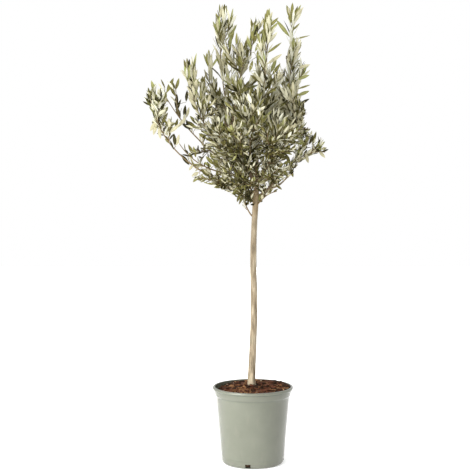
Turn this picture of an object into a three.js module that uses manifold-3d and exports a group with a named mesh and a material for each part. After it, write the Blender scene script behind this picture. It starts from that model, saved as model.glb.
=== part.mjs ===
// A potted olive tree about 1.44 m tall: a plain round pot filled to its rim with bark mulch,
// one slim trunk, tapering boughs and an upright, open crown of narrow leaves.
// Millimetres, +Z up. The origin is the centre of the pot's flat underside, and -Y is the front.
import * as THREE from 'three'
import { mergeVertices } from 'three/addons/utils/BufferGeometryUtils.js'
import Module from 'manifold-3d'

const wasm = await Module()
wasm.setup()

// Clearances between neighbouring solids, and the shortest edge that fusing may leave
const gap = 0.3
const shortestEdge = 0.03
const leafClearance = 1.2
const twigClearance = 2.5

// Pot
const pot = {
  height: 243,
  lipRadius: 126.5,
  lipHeight: 8.5,
  lipRound: 4,
  mouthRadius: 119,
  collarTopRadius: 122,
  collarFootRadius: 119,
  collarDrop: 28,
  bodyTopRadius: 115.5,
  bodyFootRadius: 97.8,
  cornerRadius: 12,
  wall: 2,
  floor: 3,
  sides: 30,
}
const drain = { count: 4, width: 16, bottom: 4, top: 15.5, firstAngle: -99.8 }

// Mulch
const mulch = { drop: 7, slopeRight: 3.6, slopeBack: 2.7, roughness: 1.6, ripple: 0.13, rings: 3 }
const mound = { topRadius: 21, footRadius: 46, height: 14, sides: 12 }
const chip = { count: 14, length: [18, 34], width: [9, 15], thickness: [4, 6], reach: 98, tilt: 14 }
const mulchSeed = 11

// Trunk, from its flat foot on the mulch to its fork: height, offsets and radius
const footHeight = 242
const trunkRows = [
  [footHeight, -4, 22, 15],
  [250, -4, 22, 13],
  [270, -3.5, 21.5, 12],
  [350, 0, 20, 11.2],
  [450, 3.5, 17, 10.8],
  [540, 3.5, 12, 10.4],
  [620, 1, 8, 10],
  [700, 2, 5, 9.4],
  [770, 5, 2, 9],
  [820, 8, 0, 9.6],
  [870, 10, 0, 9],
  [905, 11, 0, 7],
]
const footCrowding = 1.4
const trunkSides = 12
const trunkSteps = 13
const trunkStep = 40
const bareHeight = 700

// Limbs of the crown. Each runs from the trunk, at a height, or from an earlier limb, at a share of
// its length, to its tip. It leaves and ends at the two rises, in degrees above level. The bough is
// the first share of it, and the stem of the leaves the rest, bare of twigs up to its bare share. A
// fork leaves the stem at a share of the limb and ends at its own tip.
const limbs = [
  { name: 'left_low', from: 'trunk', at: 848, tip: [-320, -40, 1168], rise: [8, 82], bough: 0.22, bare: 0.62,
    forks: [[0.84, -334, -50, 1130], [0.78, -296, -56, 1136], [0.66, -300, -20, 1072]] },
  { name: 'left_high', from: 'trunk', at: 868, tip: [-280, 30, 1164], rise: [38, 62], bough: 0.24, bare: 0.3,
    forks: [[0.76, -240, 10, 1174], [0.6, -236, 60, 1100], [0.5, -190, 60, 1120]] },
  { name: 'left_inner', from: 'left_high', at: 0.19, tip: [-204, -50, 1244], rise: [52, 84], bough: 0.14,
    forks: [[0.7, -184, -70, 1234], [0.5, -150, -20, 1150], [0.3, -110, -80, 1066]] },
  { name: 'top_left', from: 'trunk', at: 888, tip: [-104, 60, 1414], rise: [56, 90], bough: 0.38, bare: 0.3,
    forks: [[0.8, -74, 40, 1400], [0.84, -122, 40, 1370], [0.74, -64, 50, 1344], [0.6, -80, 80, 1290],
      [0.5, -70, 92, 1230], [0.44, -120, 20, 1150]] },
  { name: 'left_upper', from: 'top_left', at: 0.28, tip: [-134, 80, 1276], rise: [45, 84], bough: 0.18,
    forks: [[0.5, -120, 40, 1180], [0.35, -140, 30, 1110]] },
  { name: 'top_centre', from: 'top_left', at: 0.34, tip: [16, -44, 1366], rise: [84, 56], bough: 0.2,
    forks: [[0.7, -2, -50, 1368], [0.56, -54, -50, 1306], [0.5, -76, -30, 1282], [0.3, -40, -84, 1170]] },
  { name: 'top_front', from: 'trunk', at: 905, tip: [42, -110, 1380], rise: [78, 88], bough: 0.2,
    forks: [[0.8, 58, -110, 1340], [0.66, 20, -116, 1300], [0.5, 14, -70, 1236], [0.4, 80, -40, 1110],
      [0.36, 10, -60, 1130]] },
  { name: 'top_right', from: 'trunk', at: 880, tip: [120, 60, 1414], rise: [52, 90], bough: 0.22, bare: 0.25,
    forks: [[0.88, 138, 60, 1408], [0.7, 144, 40, 1304], [0.6, 104, 70, 1276], [0.5, 92, 92, 1236],
      [0.4, 70, 90, 1120]] },
  { name: 'right_upper', from: 'top_right', at: 0.17, tip: [132, 70, 1254], rise: [45, 84], bough: 0.16,
    forks: [[0.7, 158, 48, 1236], [0.66, 160, 60, 1190], [0.6, 100, 40, 1216], [0.5, 128, 112, 1150]] },
  { name: 'right_middle', from: 'top_right', at: 0.13, tip: [150, -50, 1126], rise: [38, 76], bough: 0.16,
    forks: [[0.6, 120, -80, 1150], [0.45, 144, -92, 1060], [0.35, 84, -60, 1020]] },
  { name: 'right_low', from: 'trunk', at: 832, tip: [226, -20, 998], rise: [32, 14], bough: 0.3,
    forks: [[0.82, 212, -34, 1036], [0.66, 180, 0, 1034], [0.56, 140, -20, 990], [0.45, 112, -60, 936]] },
  { name: 'right_bottom', from: 'right_low', at: 0.2, tip: [120, -90, 914], rise: [-5, 25], bough: 0.22,
    forks: [[0.5, 92, -52, 886]] },
  { name: 'left_bottom', from: 'left_high', at: 0.14, tip: [-236, 40, 1012], rise: [4, 60], bough: 0.18,
    forks: [[0.5, -186, 60, 940], [0.4, -140, 80, 920]] },
  { name: 'hang_left', from: 'trunk', at: 842, tip: [-170, -80, 900], rise: [2, 4], bough: 0.22,
    forks: [[0.5, -118, -116, 910], [0.4, -106, -58, 874]] },
  { name: 'hang_back', from: 'trunk', at: 836, tip: [-80, 90, 864], rise: [-6, 0], bough: 0.22,
    forks: [[0.5, -53, 116, 872]] },
  { name: 'twig_left', from: 'trunk', at: 770, tip: [-36, 0, 840], rise: [40, 60], bough: 0, bare: 0.4,
    forks: [] },
  { name: 'twig_right', from: 'trunk', at: 806, tip: [72, -44, 856], rise: [46, 8], bough: 0,
    forks: [[0.5, 50, -52, 836]] },
  { name: 'front_low', from: 'trunk', at: 852, tip: [-41, -180, 920], rise: [4, 24], bough: 0.2,
    forks: [[0.5, -6, -160, 890], [0.45, -86, -160, 946], [0.35, -30, -90, 930]] },
  { name: 'front_left', from: 'trunk', at: 872, tip: [-77, -190, 1090], rise: [34, 82], bough: 0.22,
    forks: [[0.5, -116, -170, 1046], [0.4, -40, -226, 1036], [0.3, -80, -100, 990]] },
  { name: 'front_centre', from: 'front_left', at: 0.18, tip: [-12, -180, 1136], rise: [52, 86], bough: 0.16,
    forks: [[0.5, 14, -214, 1090], [0.5, -42, -126, 1130], [0.3, 0, -90, 1030]] },
  { name: 'front_right', from: 'trunk', at: 864, tip: [72, -190, 1080], rise: [32, 80], bough: 0.22,
    forks: [[0.5, 106, -170, 1020], [0.5, 38, -222, 1040], [0.3, 50, -80, 990]] },
  { name: 'front_bottom', from: 'front_right', at: 0.14, tip: [78, -164, 936], rise: [0, 26], bough: 0.2,
    forks: [[0.5, 40, -172, 912], [0.4, 60, -90, 900]] },
  { name: 'back_left', from: 'trunk', at: 878, tip: [-85, 190, 1140], rise: [36, 84], bough: 0.22,
    forks: [[0.6, -130, 156, 1104], [0.45, -53, 222, 1078], [0.3, -70, 90, 1000]] },
  { name: 'back_centre', from: 'back_left', at: 0.18, tip: [-8, 150, 1200], rise: [56, 88], bough: 0.16,
    forks: [[0.5, 20, 190, 1150], [0.5, -42, 108, 1190], [0.3, 0, 100, 1060]] },
  { name: 'back_right', from: 'trunk', at: 870, tip: [80, 186, 1170], rise: [36, 84], bough: 0.22,
    forks: [[0.5, 118, 180, 1086], [0.45, 51, 222, 1122], [0.3, 80, 90, 1000]] },
  { name: 'back_bottom_left', from: 'back_left', at: 0.14, tip: [-98, 186, 966], rise: [2, 30], bough: 0.2,
    forks: [[0.5, -56, 190, 940], [0.5, -120, 136, 944]] },
  { name: 'back_bottom_right', from: 'back_right', at: 0.14, tip: [96, 186, 960], rise: [2, 30], bough: 0.2,
    forks: [[0.5, 52, 188, 940], [0.5, 124, 136, 938]] },
  { name: 'skirt_front', from: 'trunk', at: 812, tip: [-30, -84, 872], rise: [24, 20], bough: 0,
    forks: [[0.4, 16, -76, 858], [0.3, -60, -60, 880]] },
  { name: 'skirt_left', from: 'trunk', at: 824, tip: [-104, 6, 880], rise: [20, 16], bough: 0,
    forks: [[0.4, -84, -34, 862], [0.4, -86, 48, 880]] },
  { name: 'skirt_right', from: 'trunk', at: 820, tip: [84, 24, 890], rise: [26, 20], bough: 0,
    forks: [[0.4, 70, 60, 880]] },
  { name: 'core_front', from: 'trunk', at: 890, tip: [6, -96, 980], rise: [10, 70], bough: 0,
    forks: [[0.4, -34, -70, 970], [0.4, 48, -66, 960]] },
  { name: 'core_back', from: 'trunk', at: 850, tip: [6, 96, 960], rise: [30, 70], bough: 0,
    forks: [[0.4, -34, 70, 950], [0.4, 48, 66, 950]] },
]

// How far the crown reaches at a height: to the left, to the right, and to the front and back
const crownReach = [
  [780, 30, 24, 60],
  [816, 42, 26, 80],
  [853, 84, 62, 120],
  [872, 138, 96, 160],
  [891, 196, 104, 200],
  [909, 216, 130, 225],
  [946, 218, 170, 255],
  [965, 232, 184, 264],
  [983, 254, 236, 272],
  [1001, 270, 244, 276],
  [1020, 292, 228, 280],
  [1039, 316, 204, 280],
  [1058, 322, 176, 280],
  [1095, 326, 172, 280],
  [1113, 348, 174, 278],
  [1150, 354, 174, 272],
  [1168, 340, 172, 268],
  [1187, 312, 174, 264],
  [1205, 250, 178, 260],
  [1243, 220, 182, 250],
  [1261, 200, 176, 242],
  [1280, 162, 160, 235],
  [1298, 134, 154, 230],
  [1352, 130, 152, 220],
  [1389, 126, 152, 215],
  [1446, 114, 158, 210],
]

// Openings that run through the crown from front to back: two ends, each to the side and up, and a radius
const openings = [
  { low: [-190, 1008], high: [-206, 1044], radius: 13 },
  { low: [-226, 1140], high: [-232, 1200], radius: 10 },
  { low: [-34, 1340], high: [-34, 1420], radius: 12 },
  { low: [98, 1262], high: [86, 1380], radius: 10 },
]
const bough = { trunkRadius: 5, limbRadius: 4, endRadius: 2.6, sides: 6, stepLength: 48 }
const stem = { radius: 3, tipRadius: 1.5, sides: 3, stepLength: 44 }

// How far the handles of a limb's curve reach, as a share of its span, and how forks turn up
const limbHandle = 0.38
const forkLift = 0.8

// Side twigs grow from the lower part of each stem, a golden angle apart
const twig = {
  spacing: 105,
  highest: 0.62,
  splay: [36, 56],
  lift: 0.35,
  turnSpread: [-0.4, 0.4],
  lengthShare: [0.5, 0.8],
  least: 20,
  longest: 95,
  shortened: 0.7,
  childShare: 0.46,
  tipRadius: 0.8,
  stepLength: 48,
}
const goldenAngle = THREE.MathUtils.degToRad(137.5)

// Leaves stand in pairs, each pair a quarter turn from the last, with one more at the tip
const leaf = {
  spacing: 66,
  lowLength: 56,
  highLength: 66,
  lowHeight: 960,
  highHeight: 1220,
  width: 15,
  thickness: 1.8,
  sunk: 0.4,
  widest: 0.45,
  apart: 6.5,
  splay: [24, 42],
  firstAlong: 18,
  lift: 0.08,
  turnSpread: [-0.3, 0.3],
  lengthSpread: [0.85, 1.15],
  endShare: 0.75,
  shortened: [1, 0.6],
}
const growthSeed = 7001
const seedStep = 53

const up = new THREE.Vector3(0, 0, 1)

// A seeded run of numbers from 0 to 1
class Chance {
  constructor(seed) {
    this.state = seed % 4294967296
    this.next()
    this.next()
  }

  next() {
    this.state = (this.state * 1664525 + 1013904223) % 4294967296
    return this.state / 4294967296
  }

  between([low, high]) {
    return low + (high - low) * this.next()
  }
}

// Shapes

// A closed geometry with only its positions, each moved to a new place
function warped(geometry, place) {
  geometry.deleteAttribute('normal')
  geometry.deleteAttribute('uv')
  const merged = mergeVertices(geometry, 1e-4)
  const position = merged.getAttribute('position')
  const point = new THREE.Vector3()
  for (let i = 0; i < position.count; i += 1) {
    point.fromBufferAttribute(position, i)
    const moved = place(point.clone())
    position.setXYZ(i, moved.x, moved.y, moved.z)
  }
  return merged
}

// A tapering limb bent along a curve, with flat ends
function limbGeometry(curve, radiusAt, sides, steps) {
  const frames = curve.computeFrenetFrames(steps)
  return warped(new THREE.CylinderGeometry(1, 1, 1, sides, steps), (point) => {
    const share = point.y + 0.5
    const row = Math.round(share * steps)
    const radius = radiusAt(share)
    return curve.getPointAt(share)
      .addScaledVector(frames.normals[row], point.x * radius)
      .addScaledVector(frames.binormals[row], -point.z * radius)
  })
}

function stepsAlong(curve, stepLength) {
  return Math.max(2, Math.round(curve.getLength() / stepLength))
}

// A narrow pointed leaf with a ridge along its upper face, its root sunk behind the base point.
// A sphere of three sides and two rows gives it a root, a tip and three points between.
function leafGeometry({ base, along, face, length }) {
  const across = along.clone().cross(face)
  const halfWidth = leaf.width / 2
  const places = [-leaf.sunk, length * leaf.widest, length]
  return warped(new THREE.SphereGeometry(1, 3, 2), (point) => base.clone()
    .addScaledVector(along, places[Math.round(point.y) + 1])
    .addScaledVector(across, halfWidth * Math.sign(Math.round(point.z)))
    .addScaledVector(face, point.x < -0.5 ? leaf.thickness : 0))
}

// Solids

function solidOf(geometry) {
  const mesh = new wasm.Mesh({
    numProp: 3,
    vertProperties: new Float32Array(geometry.getAttribute('position').array),
    triVerts: new Uint32Array(geometry.index.array),
  })
  return new wasm.Manifold(mesh)
}

// The largest body of a solid, without the scraps and sealed hollows that fusing leaves
function largestBody(solid) {
  return solid.decompose().reduce((a, b) => (b.volume() > a.volume() ? b : a))
}

function geometryOf(solid) {
  const { vertProperties, triVerts } = solid.getMesh()
  const geometry = new THREE.BufferGeometry()
  geometry.setAttribute('position', new THREE.BufferAttribute(vertProperties, 3))
  geometry.setIndex(new THREE.BufferAttribute(triVerts, 1))
  return geometry
}

const fused = (geometries) => geometries.map(solidOf).reduce((a, b) => a.add(b))

// Pot and mulch

// Points of an arc in a lathe profile, angles in degrees from the outward level
function arc(centreRadius, centreHeight, radius, from, to, steps) {
  return Array.from({ length: steps + 1 }, (_, i) => {
    const angle = THREE.MathUtils.degToRad(THREE.MathUtils.lerp(from, to, i / steps))
    const reach = centreRadius + radius * Math.cos(angle)
    return new THREE.Vector2(reach, centreHeight + radius * Math.sin(angle))
  })
}

const collarHeight = pot.height - pot.collarDrop
const innerRows = [
  [pot.floor, pot.bodyFootRadius - pot.cornerRadius],
  [pot.cornerRadius, pot.bodyFootRadius - pot.wall],
  [collarHeight - pot.wall, pot.bodyTopRadius - pot.wall],
  [collarHeight + pot.wall, pot.collarFootRadius - pot.wall],
  [pot.height - pot.lipHeight, pot.collarTopRadius - pot.wall],
  [pot.height, pot.mouthRadius],
]

// Radius of the pot's inner wall at a height
function innerRadiusAt(height) {
  const above = innerRows.findIndex(([rowHeight]) => rowHeight >= height)
  const [h1, r1] = innerRows[Math.max(above, 1)]
  const [h0, r0] = innerRows[Math.max(above, 1) - 1]
  return THREE.MathUtils.lerp(r0, r1, (height - h0) / (h1 - h0))
}

function potGeometry() {
  const lipFoot = pot.height - pot.lipHeight
  const profile = [
    new THREE.Vector2(0, 0),
    ...arc(pot.bodyFootRadius - pot.cornerRadius, pot.cornerRadius, pot.cornerRadius, -90, 0, 2),
    new THREE.Vector2(pot.bodyTopRadius, collarHeight),
    new THREE.Vector2(pot.collarFootRadius, collarHeight),
    new THREE.Vector2(pot.collarTopRadius, lipFoot),
    new THREE.Vector2(pot.lipRadius, lipFoot),
    ...arc(pot.lipRadius - pot.lipRound, pot.height - pot.lipRound, pot.lipRound, 0, 90, 3),
    ...innerRows.toReversed().map(([height, radius]) => new THREE.Vector2(radius, height)),
    new THREE.Vector2(0, pot.floor),
  ]
  const shell = warped(new THREE.LatheGeometry(profile, pot.sides), (p) => new THREE.Vector3(p.z, p.x, p.y))
  let solid = solidOf(shell)
  for (let i = 0; i < drain.count; i += 1) {
    const angle = THREE.MathUtils.degToRad(drain.firstAngle + i * 360 / drain.count)
    const slot = new THREE.BoxGeometry(3 * pot.cornerRadius, drain.width, drain.top - drain.bottom)
    slot.translate(pot.bodyFootRadius, 0, (drain.top + drain.bottom) / 2)
    slot.rotateZ(angle)
    solid = solid.subtract(solidOf(warped(slot, (p) => p)))
  }
  return geometryOf(largestBody(solid))
}

// Height of the mulch: lower at the left, higher at the right and the back
function mulchHeightAt(x, y) {
  const slope = (mulch.slopeRight * x + mulch.slopeBack * y) / pot.mouthRadius
  const ripple = Math.sin(mulch.ripple * x) * Math.cos(mulch.ripple * y)
  return pot.height - mulch.drop + slope + mulch.roughness * ripple
}

// The low mound that the trunk's foot stands on
function moundGeometry() {
  const [, footX, footY] = trunkRows[0]
  const cone = new THREE.CylinderGeometry(mound.topRadius, mound.footRadius, mound.height, mound.sides)
  cone.rotateX(Math.PI / 2)
  cone.translate(footX, footY, footHeight - gap - mound.height / 2)
  return warped(cone, (p) => p)
}

function mulchGeometry() {
  const foot = pot.floor + gap
  const top = pot.height
  const wallRows = innerRows.slice(0, -2)
  const rings = Array.from({ length: mulch.rings }, (_, i) => 1 - i / mulch.rings)
  const profile = [
    new THREE.Vector2(0, foot),
    ...wallRows.map(([height, radius]) => new THREE.Vector2(radius - gap, Math.max(height, foot))),
    ...rings.map((share) => new THREE.Vector2(share * pot.mouthRadius, top)),
    new THREE.Vector2(0, top),
  ]
  const bed = warped(new THREE.LatheGeometry(profile, pot.sides), (p) => {
    if (p.y < top) {
      return new THREE.Vector3(p.z, p.x, p.y)
    }
    const height = mulchHeightAt(p.z, p.x)
    const radius = Math.hypot(p.x, p.z)
    const wall = innerRadiusAt(height) - gap
    const pull = radius > wall ? wall / radius : 1
    return new THREE.Vector3(p.z * pull, p.x * pull, height)
  })
  const chance = new Chance(mulchSeed)
  const pieces = [bed, moundGeometry()]
  while (pieces.length < chip.count + 2) {
    const angle = chance.between([0, 2 * Math.PI])
    const reach = chip.reach * Math.sqrt(chance.next())
    const centre = new THREE.Vector3(reach * Math.cos(angle), reach * Math.sin(angle), 0)
    const size = [chance.between(chip.length), chance.between(chip.width), chance.between(chip.thickness)]
    const turn = new THREE.Euler(
      THREE.MathUtils.degToRad(chance.between([-chip.tilt, chip.tilt])),
      THREE.MathUtils.degToRad(chance.between([-chip.tilt, chip.tilt])),
      chance.between([0, Math.PI]),
    )
    const [, footX, footY, footRadius] = trunkRows[0]
    if (Math.hypot(centre.x - footX, centre.y - footY) < footRadius + chip.length[1]) {
      continue
    }
    centre.z = mulchHeightAt(centre.x, centre.y)
    const box = new THREE.BoxGeometry(...size)
    pieces.push(warped(box, (p) => p.applyEuler(turn).add(centre)))
  }
  return geometryOf(largestBody(fused(pieces)))
}

// Trunk and boughs

const trunkPoints = trunkRows.map(([height, x, y]) => new THREE.Vector3(x, y, height))
const trunkCurve = new THREE.CatmullRomCurve3(trunkPoints)
const trunkTop = trunkRows.at(-1)[0]

// The trunk's centre and radius at a height
function trunkAt(height) {
  const above = Math.max(1, trunkRows.findIndex(([rowHeight]) => rowHeight >= height))
  const [h0, ...lower] = trunkRows[above - 1]
  const [h1, ...upper] = trunkRows[above]
  const share = (height - h0) / (h1 - h0)
  const [x, y, radius] = lower.map((value, i) => THREE.MathUtils.lerp(value, upper[i], share))
  return { centre: new THREE.Vector3(x, y, height), radius }
}

// The trunk's rings lie level, so that its foot is a flat cut
function trunkGeometry(margin) {
  return warped(new THREE.CylinderGeometry(1, 1, 1, trunkSides, trunkSteps), (point) => {
    const share = point.y + 0.5
    const height = THREE.MathUtils.lerp(footHeight, trunkTop, share ** footCrowding)
    const { centre, radius } = trunkAt(height)
    const reach = radius + margin
    return centre.add(new THREE.Vector3(point.z * reach, point.x * reach, Math.round(share) * margin))
  })
}

const trunkCutter = solidOf(trunkGeometry(gap))

// A direction with the level heading of another, at a rise in degrees
function risen(heading, degrees) {
  const level = new THREE.Vector3(heading.x, heading.y, 0).normalize()
  const angle = THREE.MathUtils.degToRad(degrees)
  return level.multiplyScalar(Math.cos(angle)).addScaledVector(up, Math.sin(angle))
}

function limbCurve(start, tip, [startRise, endRise]) {
  const across = tip.clone().sub(start)
  const handle = across.length() * limbHandle
  return new THREE.CubicBezierCurve3(
    start,
    start.clone().addScaledVector(risen(across, startRise), handle),
    tip.clone().addScaledVector(risen(across, endRise), -handle),
    tip,
  )
}

// The stretch of a curve between two shares of its length
function stretch(curve, from, to) {
  const shares = [0, 0.2, 0.4, 0.6, 0.8, 1]
  return new THREE.CatmullRomCurve3(shares.map((s) => curve.getPointAt(THREE.MathUtils.lerp(from, to, s))))
}

const taper = (start, end) => (share) => THREE.MathUtils.lerp(start, end, share)

// An axis is a curve with its radius at both ends
function axisOf(curve, startRadius, endRadius, stepLength) {
  const steps = stepsAlong(curve, stepLength)
  return { curve, startRadius, endRadius, steps, bareLength: 0, points: curve.getSpacedPoints(2 * steps) }
}

function axisGeometry(axis, sides, margin) {
  const radiusAt = taper(axis.startRadius + margin, axis.endRadius + margin)
  return limbGeometry(axis.curve, radiusAt, sides, axis.steps)
}

// Distance from a point to the surface of an axis
const nearSegment = new THREE.Line3()
const nearPoint = new THREE.Vector3()
function distanceToAxis(axis, point) {
  let nearest = Infinity
  for (let i = 1; i < axis.points.length; i += 1) {
    nearSegment.set(axis.points[i - 1], axis.points[i])
    nearSegment.closestPointToPoint(point, true, nearPoint)
    const radius = THREE.MathUtils.lerp(axis.startRadius, axis.endRadius, i / axis.points.length)
    nearest = Math.min(nearest, nearPoint.distanceTo(point) - radius)
  }
  return nearest
}

function distanceToAxes(axes, point) {
  return axes.reduce((least, axis) => Math.min(least, distanceToAxis(axis, point)), Infinity)
}

// Growth of the twigs and leaves

// A direction square to another, at a turn about it
function sideways(direction, turn) {
  const reference = Math.abs(direction.z) < 0.9 ? up : new THREE.Vector3(1, 0, 0)
  const first = direction.clone().cross(reference).normalize()
  const second = direction.clone().cross(first).normalize()
  return first.multiplyScalar(Math.cos(turn)).addScaledVector(second, Math.sin(turn))
}

function forkCurve(limb, [share, x, y, z]) {
  const start = limb.getPointAt(share)
  const tip = new THREE.Vector3(x, y, z)
  const across = tip.clone().sub(start)
  const handle = across.length() / 3
  const heading = across.normalize()
  const leaving = limb.getTangentAt(share).add(heading).normalize()
  const ending = heading.clone().addScaledVector(up, forkLift).normalize()
  return new THREE.CubicBezierCurve3(
    start,
    start.clone().addScaledVector(leaving, handle),
    tip.clone().addScaledVector(ending, -handle),
    tip,
  )
}

function twigCurve(start, along, turn, splay, length) {
  const outward = sideways(along, turn)
  const first = along.clone().multiplyScalar(Math.cos(splay)).addScaledVector(outward, Math.sin(splay))
  const last = first.clone().addScaledVector(along, 0.5).addScaledVector(up, twig.lift).normalize()
  const bend = start.clone().addScaledVector(first, length * 0.5)
  return new THREE.QuadraticBezierCurve3(start, bend, bend.clone().addScaledVector(last, length * 0.5))
}

function leafLengthAt(height) {
  const share = THREE.MathUtils.smoothstep(height, leaf.lowHeight, leaf.highHeight)
  return THREE.MathUtils.lerp(leaf.lowLength, leaf.highLength, share)
}

// Leaves of one axis: pairs along it and one at its tip
function leavesAlong(axis, chance) {
  const leaves = []
  const total = axis.curve.getLength()
  let turn = chance.between([0, 2 * Math.PI])
  const firstPlace = Math.max(leaf.firstAlong, axis.bareLength)
  for (let place = firstPlace; place < total - leaf.firstAlong; place += leaf.spacing) {
    const share = place / total
    const base = axis.curve.getPointAt(share)
    const along = axis.curve.getTangentAt(share)
    turn += Math.PI / 2 + chance.between(leaf.turnSpread)
    for (const side of [0, Math.PI]) {
      const outward = sideways(along, turn + side)
      const splay = THREE.MathUtils.degToRad(chance.between(leaf.splay))
      const direction = along.clone()
        .multiplyScalar(Math.cos(splay))
        .addScaledVector(outward, Math.sin(splay))
        .addScaledVector(up, leaf.lift)
        .normalize()
      const face = direction.clone().cross(along.clone().cross(outward)).normalize()
      const length = leafLengthAt(base.z) * chance.between(leaf.lengthSpread)
      leaves.push({ axis, base, along: direction, face, length })
    }
  }
  const end = axis.curve.getTangentAt(1)
  const root = axis.curve.getPointAt(1).addScaledVector(end, -leaf.sunk)
  const length = leafLengthAt(root.z) * leaf.endShare
  leaves.push({ axis, base: root, along: end, face: sideways(end, turn), length })
  return leaves
}

// Points round a leaf's outline, for the tests of its space
function outlineOf({ base, along, face, length }) {
  const across = along.clone().cross(face)
  const places = [[0.25, 0.6], [0.5, 1], [0.75, 0.6]]
  const points = [1, 0.9].map((share) => base.clone().addScaledVector(along, length * share))
  for (const [share, width] of places) {
    for (const side of [-1, 0, 1]) {
      const reach = side * width * leaf.width / 2
      points.push(base.clone().addScaledVector(along, length * share).addScaledVector(across, reach))
    }
  }
  return points
}

// Crown

const limbCurves = new Map()
for (const { name, from, at, tip, rise } of limbs) {
  const start = from === 'trunk' ? trunkAt(at).centre : limbCurves.get(from).getPointAt(at)
  limbCurves.set(name, limbCurve(start, new THREE.Vector3(...tip), rise))
}

const trunkAxis = axisOf(trunkCurve, trunkAt(bareHeight).radius, trunkAt(trunkTop).radius, trunkStep)
const boughAxes = new Map()
for (const { name, from, bough: share } of limbs) {
  if (share > 0) {
    const radius = from === 'trunk' ? bough.trunkRadius : bough.limbRadius
    const curve = stretch(limbCurves.get(name), 0, share)
    boughAxes.set(name, axisOf(curve, radius, bough.endRadius, bough.stepLength))
  }
}

// Each mass starts with its stem, just clear of its bough's tip or cut clear of the trunk
const masses = limbs.map(({ name, bough: share, bare = 0, forks }) => {
  const curve = limbCurves.get(name)
  const first = share > 0 ? share + gap / curve.getLength() : 0
  const stemAxis = axisOf(stretch(curve, first, 1), stem.radius, stem.tipRadius, stem.stepLength)
  stemAxis.bareLength = bare * stemAxis.curve.getLength()
  return { name, axes: [stemAxis], forks, curve }
})

const limbAxes = [trunkAxis, ...boughAxes.values()]

// Whether a point lies inside the crown's outline, an oval at each height
function insideCrown({ x, y, z }) {
  const above = crownReach.findIndex(([height]) => height >= z)
  if (above < 1) {
    return false
  }
  const [h0, ...lower] = crownReach[above - 1]
  const [h1, ...upper] = crownReach[above]
  const share = (z - h0) / (h1 - h0)
  const [left, right, depth] = lower.map((reach, i) => THREE.MathUtils.lerp(reach, upper[i], share))
  if ((x / (x < 0 ? left : right)) ** 2 + (y / depth) ** 2 > 1) {
    return false
  }
  return !openings.some(({ low, high, radius }) => {
    nearSegment.set(new THREE.Vector3(low[0], y, low[1]), new THREE.Vector3(high[0], y, high[1]))
    nearSegment.closestPointToPoint(new THREE.Vector3(x, y, z), true, nearPoint)
    return Math.hypot(nearPoint.x - x, nearPoint.z - z) < radius
  })
}

// Whether every point keeps to the mass's own space: clear of the limbs, and nearer to its own axes
// than to any other mass's
function keepsToSpace(mass, points, clearance) {
  return points.every((point) => {
    const own = Math.max(0, distanceToAxes(mass.axes, point))
    if (!insideCrown(point) || distanceToAxes(limbAxes, point) < clearance) {
      return false
    }
    return masses.every((other) => other === mass || distanceToAxes(other.axes, point) > own + clearance)
  })
}

// Adds a twig to a mass if there is room for it. It starts inside its parent's narrower section.
function grow(mass, curve, parentRadius) {
  const startRadius = parentRadius * twig.childShare
  const axis = axisOf(curve, startRadius, Math.min(startRadius, twig.tipRadius), twig.stepLength)
  const free = axis.points.slice(1)
  if (keepsToSpace(mass, free, twigClearance)) {
    mass.axes.push(axis)
    return true
  }
  return false
}

for (const mass of masses) {
  for (const row of mass.forks) {
    grow(mass, forkCurve(mass.curve, row), stem.radius)
  }
}

masses.forEach((mass, index) => {
  const chance = new Chance(growthSeed + index * seedStep)
  for (const axis of [...mass.axes]) {
    const total = axis.curve.getLength()
    let turn = chance.between([0, 2 * Math.PI])
    const firstPlace = Math.max(twig.spacing / 2, axis.bareLength)
    for (let place = firstPlace; place < total * twig.highest; place += twig.spacing) {
      const share = place / total
      turn += goldenAngle + chance.between(twig.turnSpread)
      const splay = THREE.MathUtils.degToRad(chance.between(twig.splay))
      const length = Math.min(twig.longest, (total - place) * chance.between(twig.lengthShare) + twig.least)
      const start = axis.curve.getPointAt(share)
      const along = axis.curve.getTangentAt(share)
      for (const part of [1, twig.shortened]) {
        const curve = twigCurve(start, along, turn, splay, length * part)
        if (grow(mass, curve, THREE.MathUtils.lerp(axis.startRadius, axis.endRadius, share))) {
          break
        }
      }
    }
  }
  mass.chance = chance
})

// The outer part of a leaf's midrib, as an axis that later leaves keep clear of
function midribOf({ base, along, length }) {
  const points = [0.3, 0.65, 1].map((share) => base.clone().addScaledVector(along, length * share))
  return { points, startRadius: 0, endRadius: 0 }
}

function massGeometry(mass) {
  const wood = mass.axes.map((axis) => axisGeometry(axis, stem.sides, 0))
  const kept = []
  const midribs = []
  for (const whole of mass.axes.flatMap((axis) => leavesAlong(axis, mass.chance))) {
    const twigs = mass.axes.filter((axis) => axis !== whole.axis)
    const blade = leaf.shortened.map((part) => ({ ...whole, length: whole.length * part })).find((shorter) => {
      const outline = outlineOf(shorter)
      return outline.every((point) => distanceToAxes(midribs, point) > leaf.apart
        && distanceToAxes(twigs, point) > leafClearance) && keepsToSpace(mass, outline, leafClearance)
    })
    if (blade) {
      kept.push(blade)
      midribs.push(midribOf(blade))
    }
  }
  const solid = fused([...wood, ...kept.map(leafGeometry)]).subtract(trunkCutter)
  return geometryOf(largestBody(largestBody(solid).asOriginal().simplify(shortestEdge)))
}

// Each bough is cut back to clear the trunk and the boughs before it
function boughGeometries() {
  const cutters = [trunkCutter]
  const geometries = new Map()
  for (const [name, axis] of boughAxes) {
    const whole = solidOf(axisGeometry(axis, bough.sides, 0))
    const cut = cutters.reduce((solid, cutter) => solid.subtract(cutter), whole)
    geometries.set(name, geometryOf(largestBody(cut)))
    cutters.push(solidOf(axisGeometry(axis, bough.sides, gap)))
  }
  return geometries
}

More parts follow.
